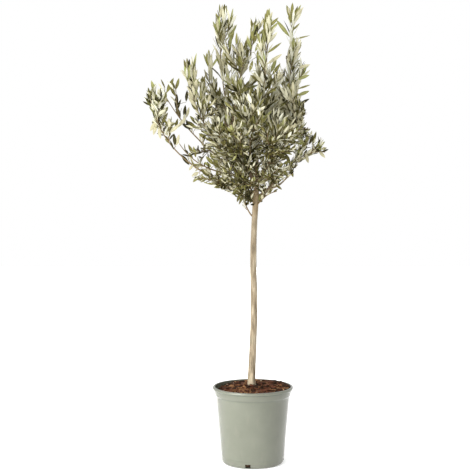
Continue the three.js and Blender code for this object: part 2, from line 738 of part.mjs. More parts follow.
// Materials
const materials = {
  pot: new THREE.MeshStandardMaterial({ color: 0xa4a698, roughness: 0.5, metalness: 0 }),
  mulch: new THREE.MeshStandardMaterial({ color: 0x553e2b, roughness: 0.95, metalness: 0 }),
  bark: new THREE.MeshStandardMaterial({ color: 0xb1a085, roughness: 0.85, metalness: 0 }),
  leaves: new THREE.MeshStandardMaterial({ color: 0x6f694b, roughness: 0.6, metalness: 0 }),
}

const group = new THREE.Group()

function addPiece(name, geometry, material) {
  const mesh = new THREE.Mesh(geometry, material)
  mesh.name = name
  group.add(mesh)
}

addPiece('pot', potGeometry(), materials.pot)
addPiece('mulch', mulchGeometry(), materials.mulch)
addPiece('trunk', trunkGeometry(0), materials.bark)
for (const [name, geometry] of boughGeometries()) {
  addPiece(`bough_${name}`, geometry, materials.bark)
}
for (const mass of masses) {
  addPiece(`leaves_${mass.name}`, massGeometry(mass), materials.leaves)
}

export default group
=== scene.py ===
import math
from bisect import bisect_left, bisect_right
from dataclasses import dataclass

import bmesh
import bpy
import numpy as np
from mathutils import Matrix, Quaternion, Vector, noise
from mathutils.geometry import intersect_point_line


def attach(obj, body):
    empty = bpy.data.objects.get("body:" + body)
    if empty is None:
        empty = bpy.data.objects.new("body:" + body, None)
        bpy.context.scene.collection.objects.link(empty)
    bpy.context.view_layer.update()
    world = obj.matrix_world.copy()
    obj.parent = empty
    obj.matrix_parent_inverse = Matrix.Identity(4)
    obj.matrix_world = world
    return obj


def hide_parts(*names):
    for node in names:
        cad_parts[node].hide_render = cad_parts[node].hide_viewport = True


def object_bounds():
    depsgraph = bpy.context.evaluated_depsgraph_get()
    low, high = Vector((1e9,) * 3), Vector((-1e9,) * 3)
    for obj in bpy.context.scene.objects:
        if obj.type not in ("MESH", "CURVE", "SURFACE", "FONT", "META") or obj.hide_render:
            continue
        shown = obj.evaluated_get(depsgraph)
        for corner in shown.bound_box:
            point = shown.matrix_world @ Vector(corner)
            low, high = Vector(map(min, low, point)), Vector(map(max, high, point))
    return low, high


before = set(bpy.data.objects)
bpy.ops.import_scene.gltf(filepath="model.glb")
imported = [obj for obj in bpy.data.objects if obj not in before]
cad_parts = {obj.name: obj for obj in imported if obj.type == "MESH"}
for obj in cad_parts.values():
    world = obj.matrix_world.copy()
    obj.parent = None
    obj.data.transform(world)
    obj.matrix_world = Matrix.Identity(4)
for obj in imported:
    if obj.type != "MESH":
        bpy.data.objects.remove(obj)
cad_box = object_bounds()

MM = 0.001
UP = Vector((0, 0, 1))
FRONT = Vector((0, -1, 0))
FULL_TURN = (0, 2 * math.pi)

# Pot
POT_HEIGHT = 243
LIP_RADIUS = 126.5
LIP_HEIGHT = 8.5
LIP_ROUND = 4
LIP_FOOT = POT_HEIGHT - LIP_HEIGHT
MOUTH_RADIUS = 119
COLLAR_TOP_RADIUS = 122
COLLAR_FOOT_RADIUS = 119
COLLAR_DROP = 28
COLLAR_FOOT = POT_HEIGHT - COLLAR_DROP
BODY_TOP_RADIUS = 115.5
BODY_FOOT_RADIUS = 97.8
BODY_RINGS = (60, 110, 160, 205)
POT_CORNER = 12
POT_WALL = 2
POT_FLOOR = 3
POT_SIDES = 144
FOOT_RING_RADIUS = 62
FOOT_RECESS = 1.2
BAND_HEIGHT = 25
BAND_DEPTH = 0.5
BAND_HALF = 1.6
SLOT_COUNT = 4
SLOT_SIDES = 4
SLOT_BOTTOM = 4
SLOT_TOP = 15.5
SLOT_FIRST_ANGLE = -99.8
# Reach of the painted shadows on the pot: below the collar's foot, and above the lip's foot
SHADOW_DROP = 10
SHADOW_RISE = 2

# Mulch, with a hollow at its left side and a mound round the trunk
MULCH_DROP = 7
MULCH_SLOPE_RIGHT = 6.5
MULCH_SLOPE_BACK = 5
MULCH_RINGS = 26
MULCH_SIDES = 96
MULCH_FOOT = POT_FLOOR + 0.3
MULCH_WALL_RINGS = (12, 110, 213)
MULCH_GAP = 0.6
MULCH_LUMP = 2.4
MULCH_CRUMB = 1.6
LUMP_SCALE = 0.05
CRUMB_SCALE = 0.16
MULCH_SUNK = 1.5
MULCH_HOLLOW = 5
HOLLOW_LEFT = 78
MOUND_RADIUS = 44
MOUND_HEIGHT = 6
MOUND_FALL = 1.5

# Chips, which pile up round the trunk's foot
CHIP_COUNT = 620
CHIP_LENGTH = (7, 34)
CHIP_WIDTH = (0.28, 0.55)
CHIP_THICKNESS = (1.6, 4.2)
CHIP_SHORTER = 2.2
CHIP_TILT = 0.45
CHIP_TILT_LENGTH = 6
CHIP_ROLL = (-0.5, 0.5)
CHIP_LIFT = (-0.8, 1.6)
CHIP_RAGGED = (0.72, 1.12)
CHIP_BOW = (-0.12, 0.12)
CHIP_RELIEF = (0.7, 1.2)
CHIP_GRAIN = 60
CHIP_MARGIN = 5
CHIP_TRUNK_SHARE = 0.1
CHIP_WALL_SHARE = 0.5
CHIP_SEED = 23
CHIP_PILE = 6
CHIP_PILE_REACH = 7
CHIP_CORNERS = 7
CHIP_LAYERS = ((-0.5, 0.78), (0.1, 1), (0.5, 0.8))
CHIP_PALE_LENGTH = 14
CHIP_DARK, CHIP_RED, CHIP_BROWN, CHIP_TAN, CHIP_PALE = range(5)

# How chips are dealt their tints: the share up to which a tint is dealt, and how far it rises where
# the bed is warmer and where it lies behind the trunk. The rest are red-brown
CHIP_SHARES = [
    (CHIP_PALE, 0.02, 0, 0.09),
    (CHIP_TAN, 0.06, 0.22, 0.09),
    (CHIP_BROWN, 0.2, 0.45, 0),
    (CHIP_DARK, 0.56, 0, 0),
]
WARM_BACK = 40
WARM_BACK_FADE = 70
WARM_RIGHT = 30
WARM_RIGHT_FADE = 60
WARM_FRONT = (-104, -70)
BEHIND_TRUNK = (40, 90)

# Trunk, from its foot on the mulch to its fork: height, offsets and radius
TRUNK_ROWS = [
    (242, -4, 22, 15),
    (250, -4, 22, 13),
    (270, -3.5, 21.5, 12),
    (350, 0, 20, 11.2),
    (450, 3.5, 17, 10.8),
    (540, 3.5, 12, 10.4),
    (620, 1, 8, 10),
    (700, 2, 5, 9.4),
    (770, 5, 2, 9),
    (820, 8, 0, 9.6),
    (870, 10, 0, 9),
    (905, 11, 0, 7),
]
TRUNK_FOOT = TRUNK_ROWS[0][0]
TRUNK_TOP = TRUNK_ROWS[-1][0]
TRUNK_RING_STEP = 6
TRUNK_SIDES = 32
TRUNK_EVENED = (-14, -7, 0, 7, 14)
TRUNK_EVENED_FROM = 262
CROWN_START = 700

# Bark
BARK_GRAIN = 1.5
BARK_SMOOTHINGS = 3
BARK_RELIEF_RISE = 6
BOUGH_SIDES = 14
BOUGH_RING_STEP = 6
BARK_FURROW = 0.35
BARK_SWELL = 0.5
BARK_RING = 0.3
FURROW_SCALES = (0.42, 0.42, 0.06)
SWELL_SCALES = (0.05, 0.05, 0.03)
RING_SCALE = 0.11
ROOT_SCALE = 0.09
ROOT_RELIEF = 4
ROOT_REACH = 9
ROOT_FLARE = 3.2
FLARE_REACH = 7
SCAR_HEIGHT = 478
SCAR_ANGLE = -38
SCAR_RADIUS = 3.2
SCAR_RIM = 1.1
SCAR_SHARE = 0.62
SCAR_SHARPNESS = 2.2

# Limbs that are bare of leaves and twigs up to a share of their stem
BARE_TO = {"left_low": 0.62, "left_high": 0.3, "top_left": 0.3, "top_right": 0.25, "twig_left": 0.4}
BARE_SPACING = 3

# How far apart twigs are on some limbs, against the others
TWIG_RATE = {
    "top_right": 1.3, "left_high": 1.3, "left_inner": 1.6, "right_low": 1.5, "left_bottom": 1.5,
    "core_front": 0.7, "front_low": 0.7, "skirt_front": 0.8,
}

# How far apart pairs of leaves are on some limbs, against the others
LEAF_RATE = {"left_low": 0.85, "left_high": 1.7, "left_inner": 1.1, "right_low": 0.9}

# Limbs of the crown: name, parent, start (a height on the trunk or a share of a limb), tip, rises at
# both ends in degrees, share that is a bough, and forks (share of the limb and the fork's tip)
LIMBS = [
    ("left_low", "trunk", 848, (-306, -40, 1172), (14, 96), 0.22,
     [(0.84, -316, -50, 1150), (0.78, -284, -56, 1146), (0.64, -252, -30, 1066), (0.72, -300, -20, 1072)]),
    ("left_high", "trunk", 868, (-280, 30, 1164), (38, 62), 0.24,
     [(0.76, -240, 10, 1184), (0.42, -172, -60, 986)]),
    ("left_inner", "left_high", 0.19, (-200, -50, 1236), (52, 86), 0.14,
     [(0.7, -184, -70, 1234), (0.5, -150, -20, 1150), (0.3, -110, -80, 1066)]),
    ("top_left", "trunk", 888, (-104, 60, 1404), (56, 90), 0.38,
     [(0.78, -70, 44, 1378), (0.84, -118, 40, 1370), (0.86, -90, 76, 1384), (0.6, -80, 80, 1290),
      (0.44, -120, 20, 1150)]),
    ("left_upper", "top_left", 0.28, (-140, 80, 1288), (45, 84), 0.18,
     [(0.5, -120, 40, 1180), (0.35, -140, 30, 1110)]),
    ("top_centre", "top_left", 0.34, (14, -44, 1344), (84, 56), 0.2,
     [(0.74, 2, -50, 1350), (0.56, -54, -50, 1306), (0.5, -76, -30, 1282), (0.5, -30, -60, 1270),
      (0.3, -40, -84, 1170)]),
    ("top_front", "trunk", 905, (42, -110, 1368), (78, 88), 0.2,
     [(0.8, 50, -112, 1350), (0.66, 20, -116, 1300), (0.5, 14, -70, 1236), (0.4, 80, -40, 1110),
      (0.36, 10, -60, 1130)]),
    ("top_right", "trunk", 880, (122, 60, 1396), (52, 90), 0.22,
     [(0.7, 144, 40, 1304), (0.6, 104, 70, 1276), (0.5, 92, 92, 1236), (0.4, 70, 90, 1120)]),
    ("right_upper", "top_right", 0.17, (132, 70, 1254), (45, 84), 0.16,
     [(0.7, 158, 48, 1236), (0.5, 128, 112, 1150)]),
    ("right_middle", "top_right", 0.13, (150, -50, 1126), (38, 76), 0.16,
     [(0.6, 120, -80, 1150), (0.45, 144, -92, 1060), (0.35, 84, -60, 1020)]),
    ("right_low", "trunk", 832, (222, -20, 976), (34, -8), 0.3,
     [(0.82, 186, -34, 1002), (0.62, 176, 0, 1024), (0.56, 140, -20, 990), (0.45, 112, -60, 936)]),
    ("right_bottom", "right_low", 0.2, (120, -90, 914), (-5, 25), 0.22,
     [(0.5, 92, -52, 886)]),
    ("left_bottom", "left_high", 0.14, (-236, 40, 1012), (4, 60), 0.18,
     [(0.5, -186, 60, 940), (0.4, -140, 80, 920)]),
    ("hang_left", "trunk", 842, (-170, -80, 900), (2, 4), 0.22,
     [(0.5, -118, -116, 910), (0.4, -106, -58, 874)]),
    ("hang_back", "trunk", 836, (-80, 90, 864), (-6, 0), 0.22,
     [(0.5, -53, 116, 872)]),
    ("twig_left", "trunk", 770, (-36, 0, 840), (40, 60), 0, []),
    ("twig_right", "trunk", 806, (72, -44, 856), (46, 8), 0, []),
    ("front_low", "trunk", 852, (-41, -180, 920), (4, 24), 0.2,
     [(0.5, -6, -160, 890), (0.45, -86, -160, 946)]),
    ("front_left", "trunk", 872, (-77, -190, 1090), (34, 82), 0.22,
     [(0.5, -116, -170, 1046), (0.4, -40, -226, 1036), (0.3, -80, -100, 990)]),
    ("front_centre", "front_left", 0.18, (-12, -180, 1136), (52, 86), 0.16,
     [(0.5, 14, -214, 1090), (0.5, -42, -126, 1130), (0.3, 0, -90, 1030)]),
    ("front_right", "trunk", 864, (72, -190, 1080), (32, 80), 0.22,
     [(0.5, 106, -170, 1020), (0.5, 38, -222, 1040), (0.3, 50, -80, 990)]),
    ("front_bottom", "front_right", 0.14, (78, -164, 936), (0, 26), 0.2,
     [(0.5, 40, -172, 912), (0.4, 60, -90, 900)]),
    ("back_left", "trunk", 878, (-85, 190, 1140), (36, 84), 0.22,
     [(0.6, -130, 156, 1104), (0.5, -124, 176, 1056), (0.45, -53, 222, 1078), (0.3, -70, 90, 1000)]),
    ("back_centre", "back_left", 0.18, (-8, 150, 1200), (56, 88), 0.16,
     [(0.5, 20, 190, 1150), (0.5, -42, 108, 1190), (0.3, 0, 100, 1060)]),
    ("back_right", "trunk", 870, (80, 186, 1170), (36, 84), 0.22,
     [(0.5, 118, 180, 1086), (0.45, 51, 222, 1122), (0.3, 80, 90, 1000)]),
    ("back_bottom_left", "back_left", 0.14, (-98, 186, 966), (2, 30), 0.2,
     [(0.5, -56, 190, 940), (0.5, -120, 136, 944)]),
    ("back_bottom_right", "back_right", 0.14, (96, 186, 960), (2, 30), 0.2,
     [(0.5, 52, 188, 940)]),
    ("skirt_front", "trunk", 812, (-30, -84, 872), (24, 20), 0,
     [(0.3, -60, -60, 880)]),
    ("skirt_left", "trunk", 824, (-104, 6, 880), (20, 16), 0,
     [(0.4, -86, 48, 880)]),
    ("skirt_right", "trunk", 820, (84, 24, 890), (26, 20), 0,
     [(0.4, 70, 60, 880)]),
    ("core_front", "trunk", 890, (6, -96, 980), (10, 70), 0,
     [(0.6, 30, -100, 1010)]),
    ("core_back", "trunk", 850, (6, 96, 960), (30, 70), 0, []),
]

# How far the crown reaches at a height: to the left, to the right, and to the front and back
CROWN_REACH = [
    (780, 30, 24, 60), (816, 36, 26, 80), (853, 84, 62, 120), (872, 138, 96, 160),
    (891, 196, 104, 200), (909, 216, 130, 225), (946, 218, 142, 255), (965, 232, 184, 264),
    (983, 254, 236, 272), (1001, 270, 230, 276), (1020, 292, 214, 280), (1039, 316, 196, 280),
    (1058, 322, 166, 280), (1095, 308, 172, 280), (1113, 344, 160, 278), (1150, 350, 160, 272),
    (1168, 336, 160, 268), (1187, 308, 162, 264), (1205, 248, 178, 260), (1243, 224, 182, 250),
    (1261, 216, 170, 242), (1280, 178, 160, 235), (1298, 148, 154, 230), (1352, 130, 152, 220),
    (1389, 124, 150, 215), (1446, 112, 158, 210),
]

# Openings that run through the crown from front to back: two ends as (side, height), and a radius
OPENINGS = [
    ((-264, 1190), (-254, 1092), 5), ((-212, 1206), (-207, 1135), 5), ((-200, 1110), (-196, 1078), 8),
    ((-206, 1044), (-190, 1008), 13), ((-226, 1030), (-222, 980), 8), ((-204, 942), (-190, 918), 8),
    ((-128, 935), (-122, 912), 6), ((-166, 1262), (-166, 1218), 9), ((-76, 1242), (-72, 1224), 5),
    ((-226, 1172), (-222, 1150), 5), ((-188, 1104), (-186, 1086), 5), ((-133, 1076), (-132, 1064), 3),
    ((-178, 1024), (-176, 1000), 6), ((-182, 962), (-178, 944), 5), ((-118, 1220), (-116, 1204), 4),
    ((-17, 1232), (-12, 1196), 5), ((104, 1322), (104, 1284), 6), ((66, 1334), (64, 1310), 5),
    ((-244, 1130), (-246, 1076), 4), ((2, 1300), (4, 1264), 6), ((148, 1184), (146, 1168), 5),
    ((156, 1144), (152, 1132), 4), ((9, 806), (10, 856), 8), ((60, 1298), (46, 1248), 5),
    ((-34, 1420), (-34, 1340), 12), ((-62, 1338), (-60, 1324), 5), ((84, 1380), (91, 1244), 9),
    ((156, 1380), (160, 1290), 10),
]

# Limbs, twigs and leaves of the growth rule
BOUGH_TRUNK_RADIUS = 5
BOUGH_LIMB_RADIUS = 4
BOUGH_END_RADIUS = 2.6
STEM_RADIUS = 2.6
STEM_TIP_RADIUS = 1.1
LIMB_HANDLE = 0.38
FORK_LIFT = 0.8
FORK_RADIUS = 1.9
FORK_NEARNESS = 0.3
TWIG_HIGHEST = 0.8
SHOOT_LOW = 1120
SHOOT_HIGH = 1260
SHOOT_SPACING = 5
TWIG_SPLAY = (34, 58)
TWIG_LIFT = 0.35
TWIG_TURN = (-0.4, 0.4)
TWIG_SHARE = (0.45, 0.8)
TWIG_LEAST = 18
TWIG_LONGEST = 110
TWIG_SHORTENED = (1, 0.7, 0.45)
TWIG_RADIUS = 1.25
TWIG_TIP_RADIUS = 0.6
TWIG_GAPS = (0.8, 1.2)
TWIG_THINNER = 0.7
TWIG_CLEARANCE = 3
TWIG_RING_STEP = 9
TWIG_STEP = 10
FORK_STEP = 20
WOOD_STEP = 12
STEM_SIDES = 7
YOUNG_SIDES = 5
SPUR_RADIUS = 0.9
SPUR_BEND = 0.4
GOLDEN_ANGLE = math.radians(137.5)
LEAF_LOW_SPACING = 11
LEAF_HIGH_SPACING = 14.5
LEAF_GAPS = (0.85, 1.15)
LEAF_FIRST = 8
LEAF_LAST = 4
LEAF_LOW_LENGTH = 28
LEAF_HIGH_LENGTH = 57
LEAF_LOW_HEIGHT = 980
LEAF_HIGH_HEIGHT = 1250
LEAF_LOW_WIDTH = 0.27
LEAF_HIGH_WIDTH = 0.165
LEAF_WIDE_HEIGHT = 1080
LEAF_NARROW_HEIGHT = 1260
LEAF_SHORTENED = (1, 0.75)
LEAF_SPLAY = (24, 62)
LEAF_ROLL = (-60, 60)
LEAF_LIFT = (0.08, 0.5)
LEAF_UPRIGHT_HEIGHT = 1150
LEAF_TURN = (-0.35, 0.35)
LEAF_LENGTHS = (0.78, 1.22)
LEAF_WIDTHS = (0.85, 1.15)
LEAF_CURL = (-0.02, 0.12)
LEAF_ROOT = 0.6
PAIR_TURN = (-0.25, 0.25)
END_LEAF = (0.75, 0.7)
LONE_CURL = 0.05
LEAF_CLEARANCE = 0.8
LEAF_APART = 2.3
LEAF_THICKNESS = 0.55
MIDRIB_SHARES = (0.35, 0.65, 1)
YOUNG_STRETCH = 70
YOUNG_SPLAY = 0.45
YOUNG_SIZE = 0.75

# Rounds of side twigs: the kinds of wood that bear them, the height below which, and their spacing
TWIG_ROUNDS = [(("stem", "fork"), math.inf, 28), (("twig",), 1110, 17)]

# Tints of leaves: five upper faces, then three undersides
DEEP, DARK, OLIVE, LIGHT, FRESH, GREY, PALE, SILVER = range(8)

# Single long leaves that stand out from the crown: foot, tip, width and tint of the face in front
LONE_LEAVES = [
    ((117, 58, 1331), (71, 54, 1388), 12, LIGHT), ((120, 58, 1324), (178, 50, 1338), 5, OLIVE),
    ((118, 58, 1392), (108, 50, 1426), 9, GREY), ((121, 58, 1396), (123, 54, 1440), 10, OLIVE),
    ((122, 58, 1384), (140, 56, 1430), 8, DARK), ((122, 58, 1388), (158, 56, 1426), 10, GREY),
    ((122, 58, 1380), (150, 56, 1434), 9, LIGHT), ((120, 58, 1384), (104, 50, 1432), 12, OLIVE),
    ((-6, -54, 1286), (-20, -58, 1326), 10, LIGHT), ((-3, -54, 1300), (12, -58, 1342), 10, DARK),
    ((-1, -54, 1312), (-8, -58, 1356), 9, OLIVE), ((1, -54, 1322), (14, -58, 1362), 9, DEEP),
    ((2, -54, 1330), (2, -58, 1372), 10, LIGHT), ((-28, -54, 1270), (-38, -58, 1312), 10, GREY),
    ((-24, -54, 1284), (-22, -58, 1318), 9, DARK), ((-138, 76, 1240), (-146, 70, 1286), 9, OLIVE),
    ((-136, 76, 1246), (-128, 70, 1284), 9, GREY), ((-192, -46, 1202), (-178, -50, 1248), 9, DARK),
    ((-194, -46, 1196), (-204, -50, 1240), 9, GREY), ((122, 58, 1370), (154, 60, 1420), 13, PALE),
    ((122, 58, 1352), (146, 50, 1376), 6, OLIVE), ((121, 58, 1306), (108, 40, 1250), 12, GREY),
    ((42, -108, 1364), (47, -114, 1408), 9, LIGHT), ((41, -108, 1358), (56, -114, 1398), 9, GREY),
    ((39, -108, 1352), (34, -112, 1394), 8, OLIVE), ((41, -108, 1306), (60, -114, 1352), 10, OLIVE),
    ((121, 58, 1290), (128, 54, 1334), 12, LIGHT), ((121, 58, 1270), (152, 54, 1310), 11, GREY),
    ((-92, 60, 1392), (-82, 60, 1432), 11, OLIVE), ((-96, 60, 1388), (-97, 56, 1430), 9, OLIVE),
    ((-78, 56, 1330), (-62, 50, 1378), 10, LIGHT), ((-76, 56, 1310), (-58, 50, 1352), 10, OLIVE),
    ((-100, 60, 1370), (-116, 56, 1408), 9, OLIVE), ((-86, 58, 1352), (-72, 54, 1398), 9, OLIVE),
    ((-74, 56, 1330), (-50, 50, 1372), 8, LIGHT), ((2, -54, 1338), (8, -58, 1382), 9, DARK),
    ((2, -54, 1336), (20, -58, 1374), 8, OLIVE), ((38, -110, 1330), (30, -114, 1378), 9, OLIVE),
    ((36, -110, 1304), (24, -114, 1346), 10, LIGHT), ((36, -110, 1280), (22, -114, 1322), 10, GREY),
    ((126, 58, 1280), (136, 54, 1322), 10, OLIVE), ((126, 58, 1250), (150, 54, 1288), 10, DARK),
    ((-200, -46, 1214), (-212, -50, 1260), 9, DARK), ((-138, 76, 1252), (-138, 70, 1296), 10, OLIVE),
    ((-292, -40, 1090), (-270, -44, 1124), 10, GREY), ((-234, -20, 1050), (-208, -24, 1082), 10, GREY),
    ((-240, -22, 1046), (-232, -26, 1080), 9, DARK), ((-104, -60, 940), (-132, -70, 968), 12, OLIVE),
    ((-26, -60, 868), (-44, -66, 838), 8, DARK), ((-12, -54, 1220), (-2, -60, 1256), 10, OLIVE),
    ((-78, 58, 1352), (-70, 54, 1396), 10, DARK), ((-40, -54, 850), (-50, -58, 824), 9, DARK),
    ((-120, -20, 936), (-146, -26, 964), 12, OLIVE), ((-112, -20, 944), (-134, -26, 976), 12, DARK),
    ((-128, -20, 930), (-150, -26, 946), 11, LIGHT), ((-176, 10, 1050), (-204, 4, 1072), 12, DARK),
    ((-170, 10, 1060), (-196, 4, 1088), 11, OLIVE), ((-140, 0, 1016), (-168, -6, 1034), 12, OLIVE),
    ((-184, -20, 968), (-200, -26, 1000), 10, DARK), ((-176, -20, 960), (-184, -26, 994), 10, OLIVE),
    ((4, -56, 1280), (22, -60, 1316), 10, LIGHT), ((8, -56, 1266), (26, -60, 1300), 10, OLIVE),
    ((40, -110, 1330), (42, -116, 1368), 10, OLIVE), ((1, -54, 1340), (-8, -60, 1380), 9, DARK),
    ((41, -110, 1366), (40, -116, 1404), 9, OLIVE), ((44, -110, 1350), (74, -116, 1380), 9, OLIVE),
    ((118, 58, 1372), (112, 54, 1410), 10, OLIVE), ((-92, 60, 1396), (-88, 56, 1436), 10, DARK),
    ((84, -60, 950), (106, -66, 968), 11, DARK), ((90, -60, 940), (112, -66, 950), 10, OLIVE),
    ((-18, -60, 862), (-24, -66, 826), 8, DEEP), ((-34, -60, 872), (-56, -64, 852), 8, DARK),
    ((-10, -50, 856), (-16, -56, 822), 7, DEEP), ((-44, -60, 874), (-64, -62, 850), 8, OLIVE),
    ((-30, -50, 848), (-44, -54, 816), 8, DARK), ((66, -50, 880), (88, -54, 862), 8, DARK),
    ((92, -50, 924), (108, -54, 898), 10, OLIVE), ((52, -60, 1216), (70, -66, 1262), 12, LIGHT),
    ((56, -60, 1210), (82, -66, 1246), 11, OLIVE), ((-84, 58, 1276), (-96, 54, 1322), 11, LIGHT),
    ((-98, 58, 1318), (-118, 54, 1362), 9, OLIVE), ((160, -24, 1000), (170, -30, 1036), 10, OLIVE),
    ((150, -24, 996), (146, -30, 1034), 11, LIGHT), ((172, -24, 998), (184, -30, 1030), 9, DEEP),
    ((148, -24, 990), (166, -30, 1010), 10, DARK), ((132, -30, 984), (152, -36, 966), 11, LIGHT),
    ((144, -26, 992), (136, -32, 960), 9, DARK), ((-160, 0, 1060), (-188, -6, 1076), 12, DEEP),
    ((-156, 0, 1052), (-182, -6, 1050), 10, OLIVE), ((-136, 0, 1034), (-162, -6, 1042), 11, DARK),
    ((-172, 20, 1140), (-180, 14, 1178), 10, DARK), ((-168, 20, 1128), (-190, 14, 1150), 10, OLIVE),
    ((-100, -60, 928), (-128, -70, 948), 11, DARK), ((-74, 56, 1296), (-68, 50, 1340), 11, LIGHT),
    ((-208, 22, 1130), (-204, 18, 1168), 10, DEEP), ((-298, -40, 1150), (-312, -44, 1196), 12, LIGHT),
    ((-166, -30, 916), (-190, -34, 902), 11, GREY), ((-164, -30, 906), (-186, -34, 884), 10, OLIVE),
    ((180, -24, 996), (194, -28, 1040), 10, DARK), ((200, -22, 984), (222, -26, 958), 10, GREY),
    ((160, -24, 976), (170, -28, 942), 11, GREY), ((112, -60, 930), (122, -64, 900), 10, OLIVE),
    ((100, -60, 972), (112, -64, 940), 11, DARK), ((40, -108, 1330), (74, -116, 1366), 10, LIGHT),
    ((39, -108, 1300), (72, -116, 1338), 10, PALE), ((38, -108, 1272), (84, -116, 1306), 8, OLIVE),
    ((38, -108, 1240), (86, -116, 1272), 11, GREY), ((138, 20, 1236), (177, 16, 1246), 10, GREY),
    ((136, 20, 1200), (175, 14, 1214), 10, LIGHT), ((134, 20, 1170), (178, 14, 1184), 6, OLIVE),
    ((136, 20, 1150), (175, 14, 1165), 11, LIGHT), ((140, 16, 1122), (175, 10, 1141), 9, DEEP),
    ((-314, -40, 1118), (-338, -44, 1132), 6, DEEP), ((-296, -40, 1068), (-306, -44, 1028), 12, GREY),
    ((-290, -40, 1056), (-284, -44, 1016), 11, GREY), ((-298, -40, 1072), (-316, -44, 1040), 11, GREY),
    ((-282, -40, 1062), (-261, -44, 1098), 10, DARK), ((-262, -36, 1036), (-255, -40, 1076), 9, DARK),
    ((-258, -36, 1034), (-224, -40, 1064), 11, GREY), ((-240, -32, 994), (-243, -36, 1034), 11, DEEP),
    ((-237, -32, 994), (-227, -36, 1032), 10, GREY), ((-256, -34, 1014), (-244, -38, 984), 6, DEEP),
    ((-222, -30, 970), (-196, -26, 936), 12, DEEP), ((-162, -26, 926), (-132, -22, 900), 15, DARK),
    ((-146, -30, 892), (-174, -34, 893), 9, DARK), ((-184, -30, 940), (-198, -34, 920), 8, GREY),
    ((-272, 26, 1172), (-286, 20, 1202), 5, DARK), ((-270, 26, 1156), (-246, 20, 1206), 13, OLIVE),
    ((-240, 28, 1108), (-236, 22, 1156), 12, DEEP), ((-214, 22, 1082), (-210, 18, 1122), 11, DEEP),
    ((-208, 22, 1080), (-198, 16, 1116), 9, GREY), ((-222, 22, 1064), (-188, 10, 1046), 12, DEEP),
]

# Seeds of the growth rule, and the owners that stand for no mass
GROWTH_SEED = 7001
SEED_STEP = 53
LEAF_SEED_STEP = 7
LIMB_OWNER = -1
SPUR_OWNER = len(LIMBS)

# A leaf's stations: share of its length, and share of its half width
LEAF_STATIONS = [(0.07, 0.13), (0.22, 0.62), (0.42, 1), (0.64, 0.93), (0.84, 0.55)]
LEAF_FOLD = 0.22

# The pieces that the leaves make, and the height up to which each holds the leaves' feet
LEAF_PIECES = [("leaves_low", 985), ("leaves_core", 1130), ("leaves_shoots", math.inf)]

# How tints change from the crown's heart outwards, and how many leaves are darker or fresher, with more dark
# ones near the crown's foot as painted shade
CROWN_HEART = Vector((0, 0, 950))
CROWN_FOOT = Vector((6, 0, 870))
FRESH_REACH = (170, 370)
DARK_REACH = (170, 330)
DARK_SHARES = (0.27, 0.36)
SPRAY_SEED = 900
SPRAY_SEED_STEP = 31
TINT_SEED = 5000
TINT_SEED_STEP = 13
SPRAY_SPREAD = 2.2
FRESH_RISE = 2.3
PALE_RISE = 0.4
FOOT_REACH = 150
FOOT_FADE = 90
FOOT_SHADE_SHARE = 0.1
FRESHER_BELOW = 0.62
UNDERSIDE_CHANGE = 0.3

# Leaf skins: name, darker and lighter tone, the midrib's tone, roughness and gloss
LEAF_SKINS = [
    ("leaf_deep", (38, 36, 16), (56, 53, 25), (88, 84, 52), 0.5, 0.1),
    ("leaf_dark", (72, 68, 34), (99, 94, 50), (128, 122, 78), 0.5, 0.1),
    ("leaf_olive", (98, 96, 50), (127, 124, 70), (156, 152, 106), 0.5, 0.12),
    ("leaf_light", (113, 116, 66), (142, 142, 88), (172, 170, 124), 0.5, 0.15),
    ("leaf_fresh", (129, 136, 80), (158, 163, 104), (190, 192, 142), 0.5, 0.15),
    ("underside_grey", (156, 151, 122), (184, 179, 148), (200, 194, 166), 0.75, 0.06),
    ("underside_pale", (177, 174, 147), (203, 200, 173), (214, 210, 185), 0.75, 0.06),
    ("underside_silver", (196, 195, 174), (220, 219, 201), (226, 224, 208), 0.75, 0.06),
]

# Bark of chips and twigs: name, darker and lighter tone
CHIP_BARKS = [
    ("chip_dark", (34, 20, 11), (62, 40, 24)),
    ("chip_red", (56, 30, 19), (96, 56, 35)),
    ("chip_brown", (76, 50, 30), (122, 86, 54)),
    ("chip_tan", (104, 72, 45), (156, 116, 78)),
    ("chip_pale", (140, 122, 102), (186, 170, 150)),
]
TWIG_BARKS = [
    ("stem_bark", (104, 92, 70), (152, 140, 112)),
    ("young_bark", (112, 106, 78), (158, 152, 118)),
]

# Heights from which and to which bark turns browner, in metres: warmer below the fork, dark brown above it
# as painted shade where trunk and boughs run up into the crown, and browner on twigs lower down
WARMED_HEIGHT = (0.765, 0.825)
SHADED_HEIGHT = (0.845, 0.9)
TWIG_SHADE = (1.2, 1.02)

# The solids' box, which the leaves keep inside
BOX_MARGIN = 1.5
CAD_LOW = [value / MM + BOX_MARGIN for value in cad_box[0]]
CAD_HIGH = [value / MM - BOX_MARGIN for value in cad_box[1]]

# Camera and light, in metres
CAMERA_PLACE = (-0.056, -4.2, 1.05)
CAMERA_AIM = (-0.056, 0, 0.7185)
CAMERA_LENS = 103.7
CAMERA_SENSOR = 36
CROWN_AIM = (0, 0, 0.7)
POT_AIM = (0, 0, 0.07)


class Chance:
    """A seeded run of numbers from 0 to 1, the same as in the part's growth"""

    factor = 1664525
    addend = 1013904223
    span = 2 ** 32

    def __init__(self, seed):
        self.state = seed
        self.next()
        self.next()

    def next(self):
        self.state = (self.state * self.factor + self.addend) % self.span
        return self.state / self.span

    def between(self, limits):
        low, high = limits
        return low + (high - low) * self.next()

    def pick(self, choices):
        return choices[int(self.next() * len(choices)) % len(choices)]


def lerp(a, b, share):
    return a + (b - a) * share


def smoothstep(value, low, high):
    share = min(max((value - low) / (high - low), 0), 1)
    return share * share * (3 - 2 * share)


def row_at(rows, height):
    """The values of a table at a height, between its rows"""
    above = min(max(bisect_right([row[0] for row in rows], height), 1), len(rows) - 1)
    low, high = rows[above - 1], rows[above]
    share = min(max((height - low[0]) / (high[0] - low[0]), 0), 1)
    return [lerp(a, b, share) for a, b in zip(low[1:], high[1:])]


# Curves

